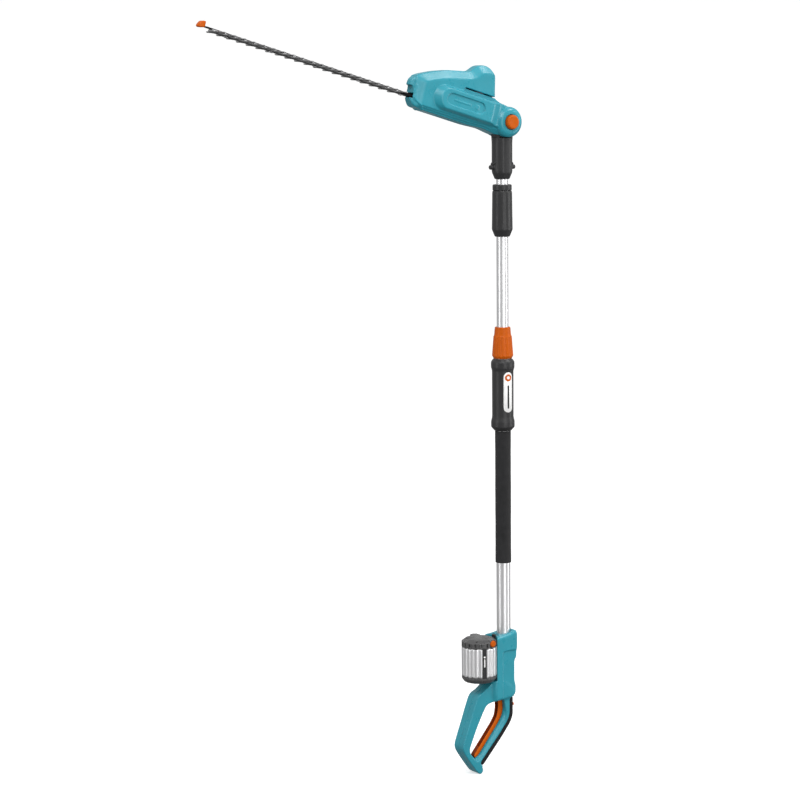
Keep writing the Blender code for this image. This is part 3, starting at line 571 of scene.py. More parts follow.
def head_body(u, a, w):
    """The closed outer shape of the head without its barrel and bosses."""
    edge = head_side(u, w)
    slab = both(edge, a - SIDE_HALF, 2.5)
    upper = 0.80 * (a - SIDE_HALF) + 0.60 * (head_top(u, w) + 16.0)
    lower = 0.72 * (a - SIDE_HALF) + 0.69 * (edge + 8.5)
    rise = ramp((w + 2.0) / 22.0)
    body = blend_both(slab, lower * (1 - rise) + upper * rise, 1.8)
    nose = 0.447 * (u - 211.0) + 0.894 * (a - SIDE_HALF)
    body = blend_both(body, nose, 3.0)
    rim = 228.0 - 26.0 * ramp((-8.0 - w) / 24.0)
    bead = np.exp(-((u - rim + 2.0) / 1.9) ** 2) * ramp((17.0 - w) / 3.0)
    for depth in GROOVE_DEPTHS:
        ends = ramp((214.0 - u) / 4.0) * ramp((u - 34.0) / 4.0)
        body = body + 0.8 * np.exp(-((edge + depth) / 0.85) ** 2) * (w < -12.0) * ends
    scoop = -0.40 * (u - 66.0) + 0.60 * (a - 16.0) + 0.69 * (w - 91.0)
    body = blend_both(body, scoop, 1.5)
    return body + 1.7 * ramp((u - rim) / 3.6) - 0.8 * bead


def head_barrel(u, a, w):
    """The raised barrel on the side, with a slanted wall, a long front end and a fall towards the boss."""
    out = np.maximum(a - SIDE_HALF, 0)
    wall = segment(u, w - BARREL_W, BARREL_U[0], BARREL_U[1] - 0.62 * out) - (BARREL_R - 0.36 * out)
    face = BARREL_FACE - 7.0 * (1 - ramp((u - 27.0) / 24.0))
    return blend_both(wall * 0.75, a - face, 2.4)


def head_field(side):
    def field(x, y, z):
        u, a, w = -x, np.abs(y), z
        rho = np.hypot(u, w)
        body = either(head_body(u, a, w), head_barrel(u, a, w), 1.6)
        cone = 0.70 * (rho - BOSS_R) + 0.714 * (a - BOSS_SHOULDER)
        boss = blend_both(both(rho - BOSS_R, a - BOSS_FACE, 1.0), cone, 3.0)
        outer = either(body, boss, 1.2)

        recess = segment(u, w - RECESS_W, *RECESS_US) - RECESS_R
        solid = both(outer, -both(recess, RECESS_FLOOR - a, 0.8), 0.9)
        for start, end, radius in BADGES:
            badge = segment(u, w - RECESS_W, start, end) - radius
            solid = np.minimum(solid, both(badge, a - BADGE_FACE, 0.5))
        ledge = both(ledge_side(u, w), LEDGE_HALF - a, 0.6)
        solid = both(solid, -ledge, 0.9)
        gap = meet(block(w, *AIR_GAP_W), block(u, *AIR_GAP_U), 9.0 - a)
        solid = both(solid, -gap, 0.3)
        solid = both(solid, -mouth_side(u, w), 0.9)

        hollow = meet(outer + HEAD_WALL, block(u, *HOLLOW_U))
        hollow = meet(hollow, -both(recess - HEAD_WALL, RECESS_FLOOR - HEAD_WALL - a, 0.8))
        behind_ledge = np.where(np.abs(w - 34.0) < 9.0, a - (LEDGE_HALF - HEAD_WALL), -99.0)
        solid = meet(solid, -meet(hollow, behind_ledge))
        knife_way = meet(a - KNIFE_WAY_HALF, block(w, *KNIFE_WAY_W), block(u, 200.0, 270.0))
        solid = both(solid, -knife_way, 0.5)
        slot = both(clevis_side(u, w), a - CLEVIS_HALF, 0.6)
        solid = both(solid, -slot, 0.8)

        for k in range(VENT_COUNT):
            along = u - VENT_FIRST_U - VENT_PITCH * k
            vent = meet(np.hypot(along, np.maximum(a - 7.0, 0)) - VENT_HALF, w + 26.0)
            solid = both(solid, -vent, 0.4)
        if side < 0:
            bore = meet(rho - BUTTON_BORE_R, 10.0 - a)
            solid = both(solid, -bore, 1.2)
        else:
            bore = np.minimum(meet(rho - 9.0, 28.0 - a), rho - 4.6)
            solid = both(solid, -bore, 0.8)
            for su, sw in HEAD_SCREWS:
                near = np.hypot(u - su, w - sw)
                post = meet(near - POST_R, outer + 0.5, a - 30.0)
                solid = both(np.minimum(solid, post), -meet(near - WELL_R, 15.0 - a), 0.8)
        return both(solid, SEAM_GAP - side * y, SEAM_EDGE)
    return field


def make_head_shells():
    make_shells("head", head_field, (-243.0, -33.0), (33.0, 96.0), 36.0, 1.05, "head", HEAD)
    for k, (u, w) in enumerate(HEAD_SCREWS):
        screw = placed(screw_shape(3.6, 2.2, 6.0), (-u, 17.4, w), "+Y")
        make(f"head_screw_{k + 1}", screw, SCREW, "head", place=HEAD)


def make_shells(part, field, low, high, half, cell, body, place=POLE):
    """A left and a right shell that meet at the middle plane, skinned between two (x, z) corners."""
    for name, side in ((f"{part}_shell_left", -1), (f"{part}_shell_right", 1)):
        y_low, y_high = sorted((-0.5 * side, half * side))
        shape = skin(field(side), (low[0], y_low, low[1]), (high[0], y_high, high[1]), cell)
        make(name + "_moulded", shape, TEAL, body, [name], place, sharp=60.0)


def socketed(crown, drive, segments, wave):
    """Revolve a crown and the drive in it. The drive's radii are scaled by a function of the angle."""
    def shaped(r, z, angle):
        inside = (np.arange(r.shape[0]) >= len(crown))[:, None]
        return np.where(inside, r * wave(angle), r), z

    return lathe(crown + drive, segments, shaped)


def screw_shape(radius, height, shank=0.0):
    """Pan head with a six-lobe drive, its underside at height zero, and an optional shank below it."""
    crown = soft_corners([(0.0, -shank), (radius * 0.5, -shank), (radius * 0.5, 0.0), (radius, 0.0),
                          (radius, height * 0.55), (radius * 0.62, height), (radius * 0.5, height)],
                         radius * 0.22, closed=False, count=4)
    drive = [(radius * 0.5, height), (radius * 0.47, height - 0.1), (radius * 0.47, height * 0.35),
             (0.0, height * 0.35)]
    return socketed(crown[:-1], drive, 48, lambda angle: 1 + 0.10 * np.cos(6 * angle))


# ---- tilt lock

BUTTON_FACE = 41.5
BUTTON_R = 14.4
BOLT_R = 4.0
BOLT_HEAD = (28.3, 33.0)
SPRING_R, SPRING_WIRE, SPRING_PITCH, SPRING_TURNS = 6.6, 0.7, 2.3, 5
SPRING_FOOT = -11.0


def spring_shape(radius, wire, pitch, turns, per_turn=28, sides=8):
    """Round wire wound about Z, starting at height 0, with flat ends."""
    points, faces = [], []
    steps = turns * per_turn
    for k in range(steps + 1):
        angle = 2 * pi * k / per_turn
        for n in range(sides):
            around = 2 * pi * n / sides
            r = radius + wire * cos(around)
            points.append((r * cos(angle), r * sin(angle), pitch * k / per_turn + wire * sin(around)))
    for k in range(steps):
        for n in range(sides):
            m = (n + 1) % sides
            faces.append((k * sides + n, k * sides + m, (k + 1) * sides + m, (k + 1) * sides + n))
    faces.append(tuple(range(sides)))
    faces.append(tuple(steps * sides + n for n in range(sides)))
    return points, faces


def make_tilt_lock():
    face = BUTTON_FACE
    profile = soft_corners([(0, 20.5), (13.0, 20.5), (13.0, 27.0), (BUTTON_R, 27.0), (BUTTON_R, face - 2.6),
                            (12.2, face), (4.0, face - 0.5), (0, face - 0.6)], 1.6, closed=False)
    make("tilt_lock_cap", placed(lathe(profile, 72), (0, 0, 0), "-Y"), ORANGE, "tilt_lock",
         ["tilt_lock_button"], HEAD)

    low, high = BOLT_HEAD
    bolt = [(0, -30.0), (BOLT_R, -30.0), (BOLT_R, low)]
    head = soft_corners([(BOLT_R, low), (8.2, low), (8.2, 32.2), (7.2, high), (4.2, high)], 0.5, closed=False)
    socket = [(4.2, high), (4.0, 32.8), (4.0, 29.8), (0, 29.8)]
    turned = socketed(bolt + head[1:-1], socket, 72,
                      lambda angle: 0.87 / np.cos((angle % (pi / 3)) - pi / 6))
    make("hinge_bolt_turned", placed(turned, (0, 0, 0), "+Y"), SCREW, "head", ["hinge_bolt"], HEAD)

    wound = spring_shape(SPRING_R, SPRING_WIRE, SPRING_PITCH, SPRING_TURNS)
    spring = make("tilt_lock_spring_wound", placed(wound, (0, SPRING_FOOT, 0), "+Y"), SCREW, "head",
                  ["tilt_lock_spring"], HEAD)
    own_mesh(spring)


# ---- blade

TOOTH_PITCH = 22.0
TOOTH_COUNT = 20
FIRST_TOOTH_U = 252.0
SPINE_HALF = 10.0
TOOTH_REACH = 28.0
KNIFE_US = (133.0, 688.0)
BEVEL = 1.15                            # width of the ground bevel
UPPER_KNIFE_W = (-8.85, -6.85)
LOWER_KNIFE_W = (-11.15, -9.15)
BAR_W = (-6.5, -5.0)
BAR_HALF = 7.0
KNIFE_STROKE = 5.5
SCREW_BORE_R = 2.7
BLADE_SCREW_US = [250.0 + 101.0 * k for k in range(5)]
CRANK_U = 101.3
YOKE = [(-76.0, -19.5), (-76.0, 19.5), (-126.0, 19.5), (-133.2, 10.0), (-133.2, -10.0), (-126.0, -19.5)]
YOKE_WINDOW = [(-CRANK_U + x, y) for x, y in ((20.5, -15.0), (-20.5, -15.0), (-20.5, 15.0), (20.5, 15.0))]


def tooth(middle):
    """One side's tooth as (u, y) points: hooked root, straight flanks and a rounded tip."""
    root, tip = SPINE_HALF, TOOTH_REACH - 0.4
    left = [(5.6, root), (4.3, root + 1.4), (2.2, tip - 1.8), (1.1, tip)]
    return [(middle - u, y) for u, y in left] + [(middle + 0.4 + u, y) for u, y in reversed(left)]


def knife_shape(first, low, high, ground_top):
    """A toothed knife with a ground bevel along its outer face: front strip and yoke, as a loft."""
    start, end = KNIFE_US
    side = [(start, SPINE_HALF)]
    for k in range(TOOTH_COUNT):
        side += tooth(first + k * TOOTH_PITCH)
    side += [(end, SPINE_HALF - 0.6), (end + 2.0, SPINE_HALF - 3.0)]
    outline = [(-u, y) for u, y in side] + [(-u, -y) for u, y in reversed(side)]
    inset = grow(outline, -BEVEL)
    levels = [(low, outline), (low + 0.7, outline), (high, inset)]
    if not ground_top:
        levels = [(low, inset), (high - 0.7, outline), (high, outline)]
    return join_shapes(stacked(levels), stacked([(low, YOKE), (high, YOKE)]))


def make_blade():
    for name, first, (low, high), ground_top in (
            ("upper", FIRST_TOOTH_U, UPPER_KNIFE_W, True),
            ("lower", FIRST_TOOTH_U + TOOTH_PITCH / 2, LOWER_KNIFE_W, False)):
        shape = knife_shape(first, low, high, ground_top)
        knife = make(f"{name}_knife_ground", shape, BLADE, f"knife_{name}", [f"{name}_knife"], HEAD,
                     sharp=20.0, extra=[EDGE],
                     pick=lambda centre, normal: int(abs(normal.z) < 0.97 and centre.x < -200.0))
        cut(knife, stacked([(-20.0, YOKE_WINDOW), (0.0, YOKE_WINDOW)]), HEAD)
        reach = KNIFE_STROKE + 0.3
        ends = arc((reach, 0), SCREW_BORE_R, -90, 90, 9) + arc((-reach, 0), SCREW_BORE_R, 90, 270, 9)
        for u in BLADE_SCREW_US:
            slot = [(x - u, y) for x, y in ends]
            cut(knife, stacked([(-20.0, slot), (-6.6, slot)]), HEAD)

    half = BAR_HALF
    outline = soft_corners([(-138, -half), (-138, half), (-700, half), (-704, 4.5), (-713, 4.5), (-713, -4.5),
                            (-704, -4.5), (-700, -half)], 1.5, count=4)
    low, high = BAR_W
    shape = stacked([(low, outline), (high - 0.4, outline), (high, grow(outline, -0.4))])
    bar = make("guide_bar_stamped", shape, BAR, "head", ["blade_guide_bar"], HEAD, sharp=25.0)
    for k, u in enumerate(BLADE_SCREW_US):
        bore = lathe([(0, -8), (SCREW_BORE_R, -8), (SCREW_BORE_R, -2), (0, -2)], 24)
        cut(bar, placed(bore, (-u, 0, 0)), HEAD)
        shank = lathe([(0, -11.6), (2.35, -11.6), (2.35, -5.25), (0, -5.25)], 24)
        screw = join_shapes(placed(screw_shape(4.8, 2.1), (-u, 0, -11.5), "-Z"), placed(shank, (-u, 0, 0)))
        make(f"blade_screw_{k + 1}_zinc", screw, SCREW, "head", [f"blade_screw_{k + 1}"], HEAD)
    make("tip_guard_moulded", skin(guard_field, (-720, -8, -11), (-703, 8, 5), 0.5), ORANGE, "head",
         ["tip_guard"], HEAD)


guard_side = soft_field([(704.5, -8.0), (716.0, -10.2), (719.0, -9.0), (719.0, -5.5), (713.5, 2.6),
                         (708.0, 4.2), (704.5, 3.7)], 2.5)


def guard_field(x, y, z):
    u, a, w = -x, np.abs(y), z
    body = both(guard_side(u, w), a - 7.5 + 0.02 * np.maximum(u - 708.0, 0) ** 2, 2.6)
    socket = meet(block(w, -6.8, -4.7), a - 5.0, block(u, 690.0, 713.5))
    groove = meet(np.abs(u - 707.3) - 0.5, -(body + 0.6))
    return both(both(body, -socket, 0.2), -groove, 0.3)


# ---- upper pole

COUPLING_R, COUPLING_FLAT = 20.85, 19.5
CONE_Z = 663.6                          # the coupling narrows below this height
COUPLING_LOW, COUPLING_HIGH = 649.5, 733.0
SOCKET_R, SOCKET_TOP = 12.3, 699.5
LUG_Z = 673.6
LUG_R, LUG_REACH = 4.8, 30.5
TONGUE_R, TONGUE_HALF = 24.0, 12.5
LOCK_POCKET_R, BOLT_BORE_R = 13.8, 4.3
HINGE_Z = HINGE.z / MM
THIN_TUBE = (10.6, 12.0)                # inner and outer radius
THICK_TUBE = (13.25, 14.45)
SLEEVE_FLUTES = 12
FLUTED_SIDE = (1.5, 8.0, 15.0)          # point spacing, shortest side and innermost radius of a fluted face

tongue_side = outline_field([*arc((0, HINGE_Z), TONGUE_R, 0, 180, 25), (-15.6, 722.0), (15.6, 722.0)])


def coupling_field(x, y, z):
    a, b = np.abs(y), np.abs(x)
    rho = np.hypot(x, y)
    round_body = both(rho - COUPLING_R, a - COUPLING_FLAT, 1.5)
    cone = 0.921 * (meet(rho, a + 1.2) - COUPLING_R) - 0.389 * (z - CONE_Z)
    body = both(meet(block(z, COUPLING_LOW, COUPLING_HIGH), round_body), cone, 1.2)
    body = both(body, z - COUPLING_HIGH, 1.0)
    drop = np.hypot(y, z - LUG_Z)
    lug = both(drop - LUG_R + 0.05 * np.maximum(b - 24.0, 0), b - LUG_REACH, 1.4)
    body = either(body, lug, 2.4)
    for lean in (-0.55, 0.55):
        fin = both(np.abs(y - lean * (z - LUG_Z)) - 1.3, np.hypot(b - 18.5, z - LUG_Z - 3.0) - 7.5, 0.8)
        body = either(body, meet(fin, LUG_Z - z), 1.6)
    tongue = both(tongue_side(x, z), a - TONGUE_HALF, 1.0)
    body = either(body, tongue, 2.0)
    body = meet(body, -meet(rho - SOCKET_R, z - SOCKET_TOP))
    spindle = np.hypot(x, z - HINGE_Z)
    pocket = meet(spindle - LOCK_POCKET_R, y - 2.5)
    return both(body, -np.minimum(spindle - BOLT_BORE_R, pocket), 0.5)


def make_upper_pole():
    shape = skin(coupling_field, (-31, -21, 649), (31, 21, 789), 0.8)
    make("coupling_moulded", shape, DARK, "upper_pole", ["head_coupling"], sharp=60.0)
    make("stub_tube_drawn", tube_shape(*THIN_TUBE, 600.0, 699.0), TUBE, "upper_pole", ["stub_tube"])
    make("upper_tube_drawn", tube_shape(*THIN_TUBE, -310.0, 597.0), TUBE, "upper_pole", ["upper_tube"])
    profile = soft_corners([(12.5, 533.6), (15.1, 533.6), (21.1, 548.0), (20.1, 622.0), (19.4, 626.4),
                            (12.5, 626.4)], 2.0, count=6)
    profile = divided(profile, *FLUTED_SIDE)

    def fluted(r, z, angle):
        depth = 0.22 * ramp((z - 549.0) / 6.0) * ramp((620.0 - z) / 5.0) * (r > 18.0)
        return r - depth * np.abs(np.sin(SLEEVE_FLUTES / 2 * angle + 0.6)) ** 8, z

    make("sleeve_moulded", lathe(profile, 192, fluted), DARK, "sleeve", ["coupling_sleeve"])
    ring = soft_corners([(12.4, 627.0), (19.45, 627.0), (19.45, 637.2), (18.2, 638.7), (12.4, 638.7)], 1.2)
    make("sleeve_ring_moulded", lathe(ring, 96), DARK, "upper_pole", ["sleeve_ring"])


def tube_shape(inner, outer, low, high, lip=0.25):
    """A tube with deburred ends."""
    return lathe([(inner + lip, low), (outer - lip, low), (outer, low + lip), (outer, high - lip),
                  (outer - lip, high), (inner + lip, high), (inner, high - lip), (inner, low + lip)], 128)


# ---- clamp and grips

NUT_FLUTES = 14
GRIP_LOW, GRIP_HIGH = 137.6, 285.0
GRIP_R = 21.9                           # the housing's waist
GRIP_END_R = 24.1
FOAM_R = (14.8, 16.2)
FOAM_Z = (-136.0, 137.1)
LABEL_Z = 218.0
LABEL_HALF, LABEL_SPAN = 10.0, 31.0
LABEL_R = 22.2
LABEL_FLOOR_R = 20.9
LABEL_TURN = radians(-95.0)             # the plate's middle, round the pole
LABEL_MARKS = (                         # name, material, half width, half length, radii, height
    ("label_dot", ORANGE, 7.4, 0.0, (22.5, 22.72), LABEL_Z + 30.0),
    ("label_pip", WHITE, 3.2, 0.0, (22.6, 22.84), LABEL_Z + 30.0),
    ("label_stripe", DARK, 1.9, 22.0, (22.5, 22.72), LABEL_Z - 9.5),
)


def make_clamp():
    outside = soft_corners([(16.8, 286.0), (18.4, 286.0), (21.7, 291.5), (18.75, 331.0), (17.3, 333.4),
                            (15.9, 349.6), (15.2, 350.0), (12.6, 350.0), (12.5, 332.0), (16.8, 329.0)], 1.6)
    outside = divided(outside, *FLUTED_SIDE)

    def fluted(r, z, angle):
        depth = 1.05 * ramp((z - 288.0) / 6.0) * ramp((333.0 - z) / 5.0) * (r > 17.0)
        valley = np.abs(np.cos(NUT_FLUTES / 2 * angle + 0.5)) ** 9
        return r - depth * valley, z

    make("clamp_nut_moulded", lathe(outside, 280, fluted), ORANGE, "nut", ["clamp_nut"])


def make_grips():
    shape = skin(housing_field, (-25, -25, 137), (25, 25, 286), 0.9)
    make("grip_housing_moulded", shape, DARK, "pole", ["grip_housing"], sharp=60.0)
    (inner, outer), (low, high) = FOAM_R, FOAM_Z
    profile = soft_corners([(inner, low), (outer, low), (outer, high), (inner, high)], 1.2)

    def uneven(r, z, angle):
        swell = 0.10 * np.sin(z * 0.045 + 1.3) + 0.06 * np.sin(z * 0.13 + 2 * angle) - 0.05
        return r + swell * (r > 15.5), z

    shape = lathe(divided(profile, 2.0), 120, uneven)
    sleeve = make("foam_sleeve_soft", shape, FOAM, "pole", ["foam_sleeve"])
    make("lower_tube_drawn", tube_shape(*THICK_TUBE, -334.0, 275.0), TUBE, "pole", ["lower_tube"])

    plate = wrapped_plate(LABEL_HALF, LABEL_SPAN, [(21.5, 0.0), (22.35, 0.0), (22.6, 0.4)], LABEL_Z)
    make("label_plate_printed", plate, WHITE, "pole", ["label_plate"])
    for name, material, half_width, half_length, radii, middle in LABEL_MARKS:
        mark = wrapped_plate(half_width, half_length, [(radius, 0.0) for radius in radii], middle)
        make(name, mark, material, "pole", sharp=30.0)


def wrapped_plate(half_width, half_length, levels, middle, columns=28):
    """A stadium-shaped plate bent round the grip. Each level is a radius and how far it is drawn in."""
    turns = [pi * (k + 0.5) / columns - pi / 2 for k in range(columns)]
    points = []
    for radius, inset in levels:
        edge = half_width - inset
        for end in (1, -1):
            for t in turns:
                angle = LABEL_TURN + edge * sin(t) / LABEL_R
                z = middle + end * (half_length + edge * cos(t))
                points.append((radius * cos(angle), radius * sin(angle), z))
    faces = []
    loop = list(range(columns)) + list(range(2 * columns - 1, columns - 1, -1))
    for level in range(len(levels) - 1):
        low, high = level * 2 * columns, (level + 1) * 2 * columns
        for here, ahead in zip(loop, loop[1:] + loop[:1]):
            faces.append((low + here, low + ahead, high + ahead, high + here))
    for base in (0, (len(levels) - 1) * 2 * columns):
        for k in range(columns - 1):
            faces.append((base + k, base + k + 1, base + columns + k + 1, base + columns + k))
    return points, faces


def housing_field(x, y, z):
    """Upper grip housing: bulged ends, a waist, a row of dashes and the label's recess."""
    rho = np.hypot(x, y)
    radius = GRIP_R + 2.1 * ramp((z - 259.0) / 11.0) + 2.2 * ramp((168.0 - z) / 13.0)
    top = 0.80 * (rho - GRIP_END_R) + 0.60 * (z - 279.0)
    bottom = 0.74 * (rho - GRIP_END_R) - 0.67 * (z - 145.4)
    body = both(both((rho - radius) * 0.97, top, 1.2), bottom, 1.2)
    body = both(body, block(z, GRIP_LOW, GRIP_HIGH), 0.8)
    bore = np.where(z > 275.3, 16.5, 14.75)
    body = meet(body, bore - rho)
    around = (np.arctan2(y, x) - LABEL_TURN) * LABEL_R
    seat = segment(z, around, LABEL_Z - LABEL_SPAN, LABEL_Z + LABEL_SPAN) - LABEL_HALF - 0.7
    body = both(body, -meet(seat, LABEL_FLOOR_R - rho, y), 0.5)
    for k in range(-3, 4):
        dash = meet(np.abs(z - 266.0) - 0.6, np.abs(np.arctan2(x, -y) - 0.28 * k) * 22.0 - 2.1)
        body = np.minimum(body, meet(dash, rho - radius - 0.45, 20.0 - rho))
    return body


# ---- handle

HOUSING = [
    (-38, -287), (-15, -285), (6, -281), (12, -276.5), (17, -277), (20.5, -284), (20.5, -314), (18.6, -321),
    (18.6, -334), (13.5, -340), (13.5, -384), (16.5, -391), (16.5, -409), (9, -416), (-35, -422), (-38, -404),
]
LOOP = [
    (4, -395), (-20, -379), (-38, -379), (-60, -398), (-71, -402), (-78, -409), (-87, -432), (-98, -463),
    (-107, -486), (-114, -506), (-112, -518), (-94, -544), (-79, -564), (-73, -569.5), (-68, -569.5),
    (-63, -563), (-67, -553), (-14, -498), (6, -472), (12.5, -457), (12.5, -410),
]
OPENING = [
    (-11, -419.5), (-35, -422), (-54, -426), (-64.5, -443.5), (-80.5, -475), (-97, -513.5), (-95, -524),
    (-76, -545), (-60, -528), (-11, -470), (-5, -455),
]
STRIP = [
    (5.5, -417), (5.3, -455), (0, -468), (-20, -493), (-69.5, -548.5), (-62.5, -554.5), (-13, -499),
    (7.7, -473), (14.3, -458), (14.5, -417),
]
GRIP_CORE = [
    (-8.5, -410), (-8.5, -444), (-12.5, -457), (-21.5, -471), (-71, -532), (-84, -538), (-66, -556),
    (-17, -497), (4, -470), (9, -456), (9, -410),
]
TRIGGER = [
    (-19, -424), (-19, -441), (-22, -457), (-31, -471), (-80, -531), (-78, -536.5), (-70.5, -538),
    (-21.5, -478), (-10, -458), (-7, -444), (-7, -424),
]
TRIGGER_SLOT = [
    (-26, -421), (-26, -447), (-34, -470), (-86, -533), (-80, -541), (-64, -542), (-14, -480), (-3, -461),
    (2.5, -446), (2.5, -421),
]
TRIGGER_PIVOT = (-74.0, -531.0)
HANDLE_HALF = 17.0
HOUSING_HALF = 24.0
PANEL_FLOOR = 21.6                      # sunk panel on the housing's side
GRIP_HALF = 15.0
TUBE_SEAT_R, TUBE_SEAT_LOW = 14.8, -335.0
CABLE_WAY_R = 8.6
# Trigger faces nearer the middle plane than the second half width get the painted shade.
TRIGGER_HALF, TRIGGER_SHADE_HALF = 6.4, 5.8
CHANNEL_HALF, CHANNEL_DEPTH = 4.3, 4.4
SAFETY_Z = -435.0
SAFETY_HALF_SPAN, SAFETY_R = 8.6, 3.7
SAFETY_BORE_R = 4.1
DRUM_X = -61.6
DRUM_R = 36.2
HANDLE_SCREWS = [(-10, -296), (-30, -404), (8, -404), (-90, -470), (-100, -518), (-80, -553)]

housing_side = soft_field(HOUSING, 5.0)
loop_side = soft_field(LOOP, 12.0)
opening_side = soft_field(OPENING, 9.0)
strip_side = soft_field(STRIP, 7.0)
wing_side = soft_field([(x - 2.1, min(z + 1.8, -417)) for x, z in STRIP[:5]] + STRIP[5:], 7.0)
core_side = soft_field(GRIP_CORE, 7.0)
trigger_side = soft_field(TRIGGER, 5.0)
slot_side = soft_field(TRIGGER_SLOT, 4.0)
panel_side = soft_field([(-17.5, -318), (60, -318), (60, -470), (-17.5, -470)], 6.0)


def strip_section(x, a, z):
    """The soft strip reaches further forward on the grip's flanks than behind the trigger's slot."""
    return np.minimum(strip_side(x, z), meet(wing_side(x, z), 10.5 - a))


def handle_field(side):
    def field(x, y, z):
        a = np.abs(y)
        housing = both(housing_side(x, z), a - HOUSING_HALF, 6.5)
        housing = both(housing, -both(panel_side(x, z), PANEL_FLOOR - a, 1.0), 1.6)
        loop = both(loop_side(x, z), a - HANDLE_HALF, 1.5)
        body = either(housing, loop, 8.0)
        body = both(body, -opening_side(x, z), 2.0)
        body = either(body, both(core_side(x, z), a - GRIP_HALF, 6.0), 2.5)
        bay = np.hypot(x - DRUM_X, y) - (DRUM_R + 0.9)
        body = both(body, -meet(bay, -378.0 - z), 1.2)
        body = both(body, 0.35 - strip_section(x, a, z), 0.5)
        tube = np.hypot(x, y)
        body = both(body, -meet(tube - TUBE_SEAT_R, TUBE_SEAT_LOW - z), 1.0)
        body = meet(body, -meet(tube - CABLE_WAY_R, block(z, -396.0, -330.0)))
        neck, foot = meet(a - 7.2, block(x, -30.0, -21.0)), meet(a - 10.6, block(x, -22.0, -18.0))
        rail = np.minimum(neck, foot)
        body = both(body, -meet(rail, -372.2 - z), 0.4)
        body = both(body, -meet(slot_side(x, z), a - 7.4), 0.6)
        body = meet(body, -meet(np.hypot(y, z - SAFETY_Z) - SAFETY_BORE_R, -x))
        switch = meet(block(x, -9.5, 8.0), a - 8.0, block(z, -425.0, -395.0))
        body = meet(body, -switch)
        if side > 0:
            for sx, sz in HANDLE_SCREWS:
                near = np.hypot(x - sx, z - sz)
                body = both(body, -meet(near - 4.2, 12.0 - a), 0.7)
        return both(body, 3 * SEAM_GAP - side * y, 0.8)
    return field


def make_handle():
    make_shells("handle", handle_field, (-116.0, -571.0), (22.0, -275.0), 25.0, 1.0, "pole")
    for k, (x, z) in enumerate(HANDLE_SCREWS):
        make(f"handle_screw_{k + 1}", placed(screw_shape(3.5, 2.0, 5.0), (x, 12.4, z), "+Y"), SCREW, "pole")
    make("grip_strip_moulded", skin(strip_field, (-71, -16, -556), (16, 16, -416), 0.9), RUBBER, "pole",
         ["soft_grip_strip"], sharp=60.0)
    # The trigger's front and its channel, near the middle plane, take the darker red copy of its orange:
    # painted shade.
    make("trigger_moulded", skin(trigger_field, (-82, -9, -540), (-6, 9, -423), 0.7), TRIGGER_ORANGE,
         "trigger_lever", ["trigger"], sharp=60.0, extra=[TRIGGER_PAINTED_SHADE],
         pick=lambda centre, normal: int(abs(centre.y) < TRIGGER_SHADE_HALF))
    pin = [(0, -4.8), (1.7, -4.8), (2.0, -4.5), (2.0, 4.5), (1.7, 4.8), (0, 4.8)]
    pivot_x, pivot_z = TRIGGER_PIVOT
    make("trigger_pin_pressed", placed(lathe(pin, 32), (pivot_x, 0, pivot_z), "+Y"), SCREW, "pole",
         ["trigger_pin"])
    make("safety_button_moulded", skin(safety_field, (6, -13, -441), (18, 13, -429), 0.6), ORANGE, "safety",
         ["safety_button"], sharp=50.0)


def safety_field(x, y, z):
    """A wide cap with two grip ribs on a round stem."""
    cap = np.hypot(np.maximum(np.abs(y) - SAFETY_HALF_SPAN, 0), z - SAFETY_Z) - SAFETY_R
    cap = both(cap, block(x, 14.2, 17.4), 0.9)
    for rib in (-1, 1):
        cap = both(cap, -meet(np.abs(y - 2.4 * rib) - 0.5, 16.9 - x), 0.2)
    stem = meet(np.hypot(y, z - SAFETY_Z) - SAFETY_R, block(x, 6.2, 15.0))
    return either(cap, stem, 0.6)


def strip_field(x, y, z):
    a = np.abs(y)
    body = both(strip_section(x, a, z), a - GRIP_HALF, 4.5)
    along = (x + z) * 0.7071
    groove = np.abs((along / 6.5 + 0.5) % 1 - 0.5) * 6.5 - 0.7
    skinned = meet(groove, -(body + 0.45), z + 462.0, a - 9.5)
    body = both(body, -skinned, 0.3)
    pocket = meet(np.hypot(np.maximum(a - SAFETY_HALF_SPAN, 0), z - SAFETY_Z) - 4.2, 10.9 - x)
    body = both(body, -pocket, 0.6)
    return meet(body, -meet(np.hypot(y, z - SAFETY_Z) - SAFETY_BORE_R, -x))


def trigger_field(x, y, z):
    a = np.abs(y)
    body = both(trigger_side(x, z), a - TRIGGER_HALF, 0.9)
    channel = meet(a - CHANNEL_HALF, -(trigger_side(x, z) + CHANNEL_DEPTH), -516.0 - z)
    body = both(body, -channel, 0.5)
    bore = np.hypot(x - TRIGGER_PIVOT[0], z - TRIGGER_PIVOT[1]) - 2.2
    return meet(body, -meet(bore, a - 5.0))


# ---- battery

RIBS = 18
RIB_DEPTH = 2.0
JACKET_INNER_R = 33.4
RELEASE_BORE_R, RELEASE_RING_R = 7.25, 8.4
LAMP_X, LAMP_Y, LAMP_R = -21.1, -22.1, 2.3
CAP_FACETS = 9
CAP_TOP = -285.6
BASE_LOW = -377.0
STRIP_HALF = 4.6                        # the dark strip's half width
DOT_R, DOT_Z = 1.9, -320.0
PRINT_R = (DRUM_R + 1.0, DRUM_R + 1.35)  # inner and outer radius of the bar and dot
RELEASE_X = -52.0
RELEASE_Z = -294.5
JACKET_LOW, JACKET_HIGH = -363.9, -303.5
RIB_TURN = radians(-107.0)


def rib_wave(angle):
    """From 0 in the grooves between ribs to 1 on their crowns. One groove lies under the dark strip."""
    return np.abs(np.sin(RIBS / 2 * (angle - RIB_TURN)))


